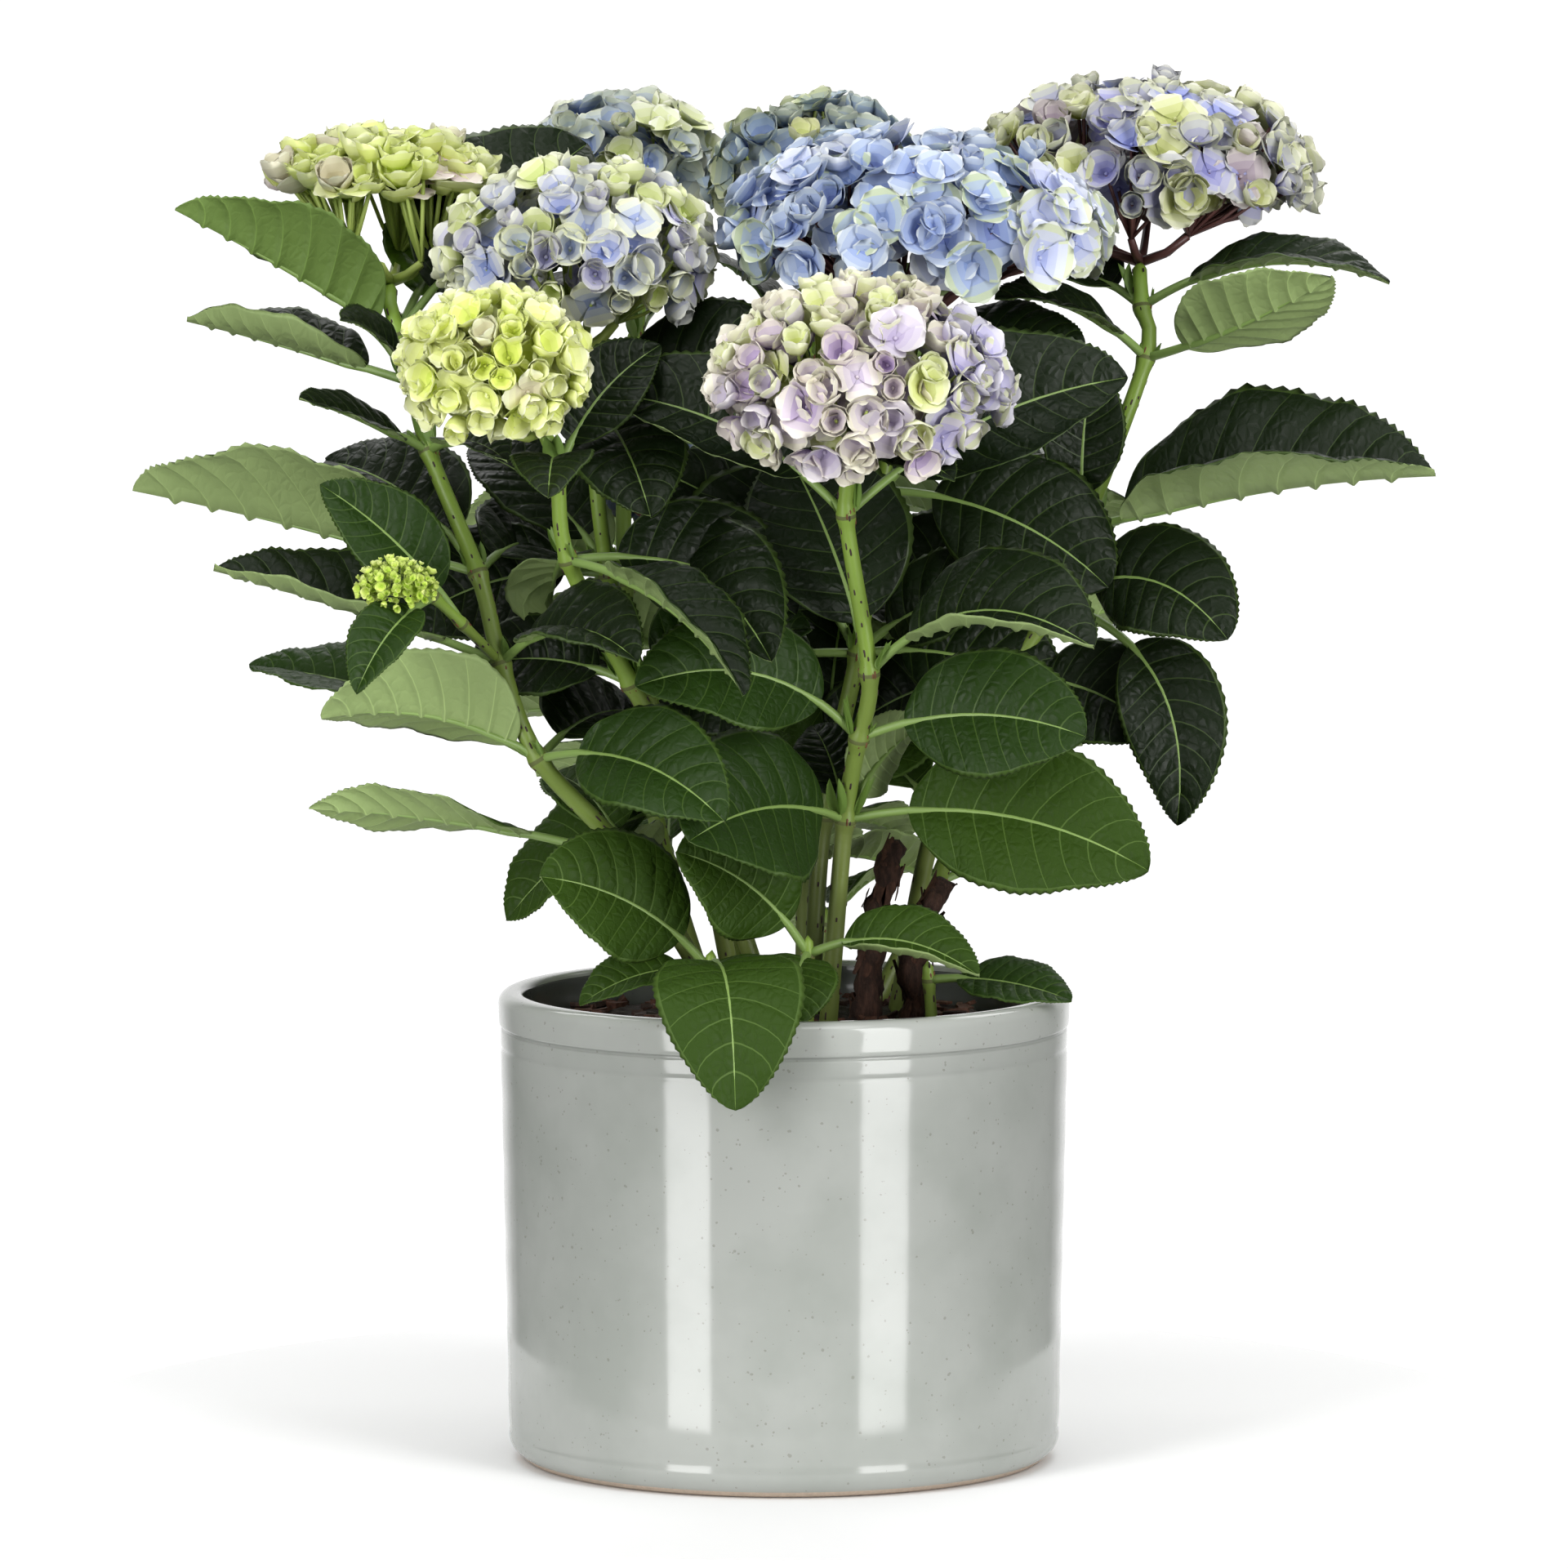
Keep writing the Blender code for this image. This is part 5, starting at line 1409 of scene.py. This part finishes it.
class HYDRANGEA_OT_stubs(bpy.types.Operator):
    """Makes the old woody stubs with their peeling bark"""
    bl_idname = "hydrangea.make_stubs"
    bl_label = "Make woody stubs"

    def execute(self, context):
        options = context.scene.hydrangea.foliage
        draw = random.Random(3)
        work = bmesh.new()
        for _, knots, radius in STUBS:
            path = [place + noise.noise_vector(place * 110) * STUB_WANDER
                    for place in smooth_path(knots, 14)]
            path.insert(0, path[0] - UP * STEM_BURIED)
            radii = [radius * (1.05 - 0.25 * i / len(path)) * (1 + STUB_KNOBS * noise.noise(place * 190))
                     for i, place in enumerate(path)]
            drawn_tube(work, path, radii, STUB_SIDES, [0] * len(path))
            for _ in range(FLAKES_PER_STUB):
                i = draw.randrange(1, len(path) - 1)
                along = (path[i + 1] - path[i]).normalized()
                side = Matrix.Rotation(draw.uniform(0, 6.28), 3, along) @ along.orthogonal().normalized()
                centre = path[i] + side * radii[i] * 1.02
                other = along.cross(side)
                made = bmesh.ops.create_grid(work, x_segments=4, y_segments=2, size=1.0)
                long, wide = draw.uniform(0.003, 0.007), draw.uniform(0.0008, 0.0018)
                curl = draw.uniform(0.0004, 0.0016)
                for vert in made["verts"]:
                    x, y = vert.co.x, vert.co.y
                    vert.co = (centre + along * x * long + other * y * wide * (1 - 0.5 * x * x)
                               + side * (curl * max(x, 0) ** 2 - radii[i] * 0.12 * y * y))
                for face in {f for v in made["verts"] for f in v.link_faces}:
                    face.material_index = 1
        for vert in work.verts:
            push = noise.noise(Vector((vert.co.x * 420, vert.co.y * 420, vert.co.z * 210)))
            vert.co += vert.normal * push * STUB_GRAIN
        bark = crumbly("stub_bark", toned(options.bark, 0.3), options.bark, 1.0, 0.9, 0.001,
                       (600.0, 600.0, 130.0))
        flake = crumbly("stub_flake", toned(options.bark, 0.6), toned(options.bark, 1.5), 1.0, 0.8,
                        0.0008, (700.0, 700.0, 150.0))
        finish_piece("woody_stubs", work, [bark, flake], [name for name, _, _ in STUBS])
        return {"FINISHED"}


class HYDRANGEA_OT_leaves(bpy.types.Operator):
    """Grows the leaf blades, their stalks and the young leaves at the knots"""
    bl_idname = "hydrangea.make_leaves"
    bl_label = "Make leaves"

    def execute(self, context):
        options = context.scene.hydrangea.foliage
        leaves = all_leaves()
        template = blade_template()
        net = shared_group("vein_net", net_group)
        relief = shared_group("fine_relief", relief_group)
        finishes = []
        for tone in TONES:
            top = getattr(options, tone.name)
            under = blended(options.under, top, tone.under_share)
            even = {"Low": tone.rough[0], "High": tone.rough[1]}
            finishes += [
                material(f"leaf_{tone.name}", net, even, tone.bump, 0.0005, top, "leaf", shine=tone.shine),
                material(f"midrib_{tone.name}", relief, even, 0.2, 0.0002,
                         blended(top, options.vein, 0.6), shine=0.25),
                material(f"lateral_{tone.name}", relief, even, 0.2, 0.0002,
                         blended(top, options.vein, tone.vein_share), shine=0.25),
                material(f"margin_{tone.name}", relief, even, 0.2, 0.0002,
                         blended(top, options.vein, 0.18), shine=0.25),
                material(f"under_{tone.name}", net, {"Low": 0.55, "High": 0.65}, 0.3, 0.0004, under,
                         "leaf", shine=0.35),
                material(f"under_vein_{tone.name}", relief, {"Low": 0.5, "High": 0.6}, 0.2, 0.0002,
                         toned(under, 1.3), shine=0.35)]
        for name, shoots in LEAF_PIECES:
            work = bmesh.new()
            draw = random.Random(name)
            for shoot, part, (knot, number), root, leaf in leaves:
                if shoot in shoots:
                    tone = self.tone(shoot, knot, number, part, root.z, draw)
                    lip = LIPS.get((part.name, knot, number), 0.0)
                    add_blade(work, template, root, leaf, part.light, tone, options, draw, lip)
            bmesh.ops.remove_doubles(work, verts=work.verts, dist=2e-6)
            finish_piece(name, work, finishes, ["leaves_" + shoot for shoot in shoots])
        bpy.data.meshes.remove(template[0])
        self.make_stalks(leaves, options)
        return {"FINISHED"}

    def tone(self, shoot, knot, number, part, height, draw):
        """Which green a leaf takes: fresh near the soil, dark at the top and inside, with some chance."""
        if number < 0:
            return DARK if height > INNER_DARK_ABOVE else MID
        if shoot.startswith("low"):
            return MID if shoot == "low_right" else FRESH
        level = height + draw.gauss(0, TONE_SCATTER)
        if part is LEFT_SIDE:
            return MID
        if shoot == "left" and knot == 7:
            return LIT
        return FRESH if level < FRESH_BELOW else MID if level < MID_BELOW else DARK

    def make_stalks(self, leaves, options):
        """The stalks with the midribs under the blades, and the young leaves in the axils."""
        work = bmesh.new()
        draw = random.Random(23)
        for _, part, _, root, leaf in leaves:
            shares = [leaf.stalk * i / 6 for i in range(7)]
            shares += [leaf.stalk + (0.97 - leaf.stalk) * i / 9 for i in range(1, 10)]
            places, _, normals = leaf_axes(root, leaf, np.array(shares), part.light)
            path, radii = [], []
            for share, place, normal in zip(shares, places, normals):
                on_blade = max(0.0, (share - leaf.stalk) / (1 - leaf.stalk))
                radius = LEAF_STALK_RADIUS * (1.12 - 0.12 * min(share / leaf.stalk, 1.0))
                radius *= 1 - 0.86 * on_blade ** 0.7
                radii.append(radius)
                path.append(Vector(place) - Vector(normal) * (radius * 0.7 * min(1.0, on_blade * 12)))
            drawn_tube(work, path, radii, STALK_SIDES, [0] * len(path))
        for shoot in TALL:
            for knot in range(1, len(shoot.knots)):
                for leaf in shoot.leaves.get(knot, ()):
                    self.add_bud(work, shoot, knot, leaf, draw)
        stalk = fine_grained("leaf_stalk", blended(options.vein, options.under, 0.3), 900.0, 0.35, 0.5)
        bud = fine_grained("young_leaf", blended(options.vein, options.fresh, 0.15), 700.0, 0.4, 0.55, 0.3)
        names = ["leaves_" + shoot.name for shoot in TALL + LOW]
        finish_piece("leaf_stalks", work, [stalk, bud], names)

    def add_bud(self, work, shoot, knot, leaf, draw):
        """A pair of young folded leaves in the angle between stem and stalk."""
        place = Vector(shoot.knots[knot])
        up = (place - Vector(shoot.knots[knot - 1])).normalized()
        out = direction(leaf.bearing, 0)
        size = draw.uniform(*(OPENING_LENGTHS if draw.random() < OPENING_SHARE else CLOSED_LENGTHS))
        for side in (-1, 1):
            lean = draw.uniform(0.15, 0.4)
            along = (up + out * lean + out.cross(UP) * side * draw.uniform(0.02, 0.2)).normalized()
            across = along.cross(out).normalized()
            normal = across.cross(along) * side
            made = bmesh.ops.create_grid(work, x_segments=6, y_segments=4, size=1.0)
            start = place + out * 0.0028 + up * 0.001
            for vert in made["verts"]:
                s, x = (vert.co.x + 1) / 2, vert.co.y
                half = size * YOUNG_HALF_WIDTH * float(half_width(s))
                fold = abs(x) * half * YOUNG_FOLD
                vert.co = (start + along * size * s + across * x * half
                           + normal * (fold + YOUNG_CURVE * size * (s * s - s) - 0.0003))
            for face in {f for v in made["verts"] for f in v.link_faces}:
                face.material_index = 1


class HYDRANGEA_OT_blooms(bpy.types.Operator):
    """Grows the florets of each head and the stalks under them"""
    bl_idname = "hydrangea.make_blooms"
    bl_label = "Make blooms"

    def execute(self, context):
        options = context.scene.hydrangea.blooms
        forms = {form: floret_shape(form) for form in FLORET_FORMS}
        stalks = bmesh.new()
        for bloom in BLOOMS:
            self.make_head(bloom, forms, stalks, options)
        for form in forms.values():
            bpy.data.meshes.remove(form[0])
        lime = fine_grained("flower_stalk", options.lime_stalk, 900.0, 0.4, 0.55)
        russet = fine_grained("russet_stalk", options.russet_stalk, 900.0, 0.4, 0.55)
        finish_piece("flower_stalks", stalks, [lime, russet], [bloom.name for bloom in BLOOMS])
        return {"FINISHED"}

    def make_head(self, bloom, forms, stalks, options):
        """One head's florets as a piece, and its stalks added to the joined piece."""
        work = bmesh.new()
        sets = [bloom.tints] * len(PETAL_SETS[bloom.tints])
        tints = list(PETAL_SETS[bloom.tints])
        chances = [tint[0] for tint in tints]
        if bloom.edge_tints:
            tints += PETAL_SETS[bloom.edge_tints]
            sets += [bloom.edge_tints] * len(PETAL_SETS[bloom.edge_tints])
        draw = random.Random(bloom.name + "tint")
        shade = 1 if bloom.stalks == "russet" else 0
        top, _, _, fork = head_stem(bloom, SHOOT_BY_NAME[bloom.shoot])
        way = (fork - top).normalized()
        axes = head_axes(bloom)
        hubs = []
        for i in range(HUBS):
            out = axes @ (direction(360 / HUBS * i + 20, 0) * bloom.reach[0] * HUB_SPREAD)
            hub = fork + way * bloom.reach[2] * HUB_RISE + out
            hubs.append(hub)
            drawn_rod(stalks, fork - way * 0.001, hub, bloom.sepal * 0.15, bloom.sepal * 0.11, shade, 0.08)
        for place, out, size, aim, chance in floret_places(bloom):
            pick = draw.choices(range(len(chances)), chances)[0]
            if bloom.edge_tints and aim.x > EDGE_FROM and aim.z < EDGE_BELOW:
                pick = draw.randrange(len(chances), len(tints))
                chance *= 0.4
            is_open = chance < bloom.open_share
            if is_open:
                form = forms[draw.choice(("open", "dished", "dished"))]
            else:
                form = forms[draw.choice(("half", "cup", "cup", "tight"))]
            spin = Matrix.Rotation(draw.uniform(0, 6.28), 3, "Z")
            turn = out.to_track_quat("Z", "X").to_matrix() @ spin
            points = kept_inside(form[1] @ (np.array(turn).T * size) + np.array(place))
            stamp(work, form[0], points, form[2] + pick * len(PETAL_KINDS))
            hub = min(hubs, key=lambda h: (h - place).length)
            drawn_rod(stalks, hub, place + out * size * 0.05, bloom.sepal * 0.06, bloom.sepal * 0.05,
                      shade, 0.06)
        low, high = options.petal_roughness - 0.08, options.petal_roughness + 0.08
        finishes = []
        for number, (tint_set, tint) in enumerate(zip(sets, tints)):
            place_in_set = number - sets.index(tint_set)
            for kind, colour in zip(PETAL_KINDS, tint[1:]):
                finishes.append(fine_grained(f"{tint_set}_{place_in_set}_{kind}", srgb(*colour), 700.0,
                                             low, high))
        finish_piece(bloom.name.replace("bloom", "florets").replace("bud_cluster", "florets_bud_cluster"),
                     work, finishes, [bloom.name])


class HYDRANGEA_OT_stage(bpy.types.Operator):
    """Sets the floor, the surround, the softboxes and the camera"""
    bl_idname = "hydrangea.make_stage"
    bl_label = "Make stage"

    def execute(self, context):
        options = context.scene.hydrangea.stage
        work = bmesh.new()
        bmesh.ops.create_circle(work, cap_ends=True, segments=96, radius=FLOOR_RADIUS)
        mesh = bpy.data.meshes.new("floor")
        work.to_mesh(mesh)
        work.free()
        floor = bpy.data.objects.new("floor", mesh)
        context.scene.collection.objects.link(floor)
        floor.location = (0.0, FLOOR_BACK, -FLOOR_DROP)
        paint = bpy.data.materials.new("floor")
        paint.use_nodes = True
        paint.node_tree.nodes["Principled BSDF"].inputs["Base Color"].default_value = (*options.floor, 1.0)
        paint.node_tree.nodes["Principled BSDF"].inputs["Roughness"].default_value = 0.9
        mesh.materials.append(paint)

        world = bpy.data.worlds.new("surround")
        world.use_nodes = True
        tree = world.node_tree
        way = tree.nodes.new("ShaderNodeTexCoord")
        parts = tree.nodes.new("ShaderNodeSeparateXYZ")
        tree.links.new(way.outputs["Generated"], parts.inputs["Vector"])
        wall = range_node(tree, parts.outputs["Y"], *WALL_EDGE, options.sky, options.backdrop)
        tree.links.new(wall.outputs["Result"], tree.nodes["Background"].inputs["Strength"])
        tree.nodes["Background"].inputs["Color"].default_value = (1.0, 1.0, 1.0, 1.0)
        context.scene.world = world

        for name, place, target, size, radiance in SOFTBOXES:
            light = bpy.data.lights.new(name, "AREA")
            light.shape = "RECTANGLE"
            light.size, light.size_y = size
            light.energy = getattr(options, radiance) * math.pi * size[0] * size[1]
            lamp = bpy.data.objects.new(name, light)
            lamp.location = place
            aim = Vector(target) - Vector(place)
            lamp.rotation_euler = aim.to_track_quat("-Z", "Y").to_euler()
            context.scene.collection.objects.link(lamp)

        lens = bpy.data.cameras.new("camera")
        lens.lens = CAMERA_LENS
        lens.sensor_width = SENSOR_WIDTH
        camera = bpy.data.objects.new("camera", lens)
        pitch = math.radians(CAMERA_PITCH)
        camera.location = (0.0, -CAMERA_DISTANCE * math.cos(pitch),
                           CAMERA_AIM + CAMERA_DISTANCE * math.sin(pitch))
        camera.rotation_euler = (math.pi / 2 - pitch, 0.0, 0.0)
        context.scene.collection.objects.link(camera)
        context.scene.camera = camera
        context.scene.view_settings.view_transform = "Standard"
        return {"FINISHED"}


class HYDRANGEA_PT_panel(bpy.types.Panel):
    """Lists the plant's pieces and its settings"""
    bl_idname = "HYDRANGEA_PT_panel"
    bl_label = "Potted hydrangea"
    bl_space_type = "VIEW_3D"
    bl_region_type = "UI"
    bl_category = "Hydrangea"

    def draw(self, context):
        settings = context.scene.hydrangea
        for maker in MAKERS:
            self.layout.operator(maker.bl_idname)
        for part in (settings.pot, settings.foliage, settings.blooms, settings.stage):
            box = self.layout.box()
            for name in part.__annotations__:
                box.prop(part, name)


MAKERS = (HYDRANGEA_OT_pot, HYDRANGEA_OT_soil, HYDRANGEA_OT_stems, HYDRANGEA_OT_stubs,
          HYDRANGEA_OT_leaves, HYDRANGEA_OT_blooms, HYDRANGEA_OT_stage)
CLASSES = (PotSettings, FoliageSettings, BloomSettings, StageSettings, HydrangeaSettings,
           *MAKERS, HYDRANGEA_PT_panel)


def register():
    """Makes the classes and the scene's settings known to Blender."""
    for one in CLASSES:
        bpy.utils.register_class(one)
    bpy.types.Scene.hydrangea = PointerProperty(type=HydrangeaSettings)


def unregister():
    """Takes the settings and the classes out again."""
    del bpy.types.Scene.hydrangea
    for one in reversed(CLASSES):
        bpy.utils.unregister_class(one)


def main():
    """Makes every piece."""
    register()
    bpy.ops.hydrangea.make_pot()
    bpy.ops.hydrangea.make_soil()
    bpy.ops.hydrangea.make_stems()
    bpy.ops.hydrangea.make_stubs()
    bpy.ops.hydrangea.make_leaves()
    bpy.ops.hydrangea.make_blooms()
    bpy.ops.hydrangea.make_stage()


if __name__ == "__main__":
    main()
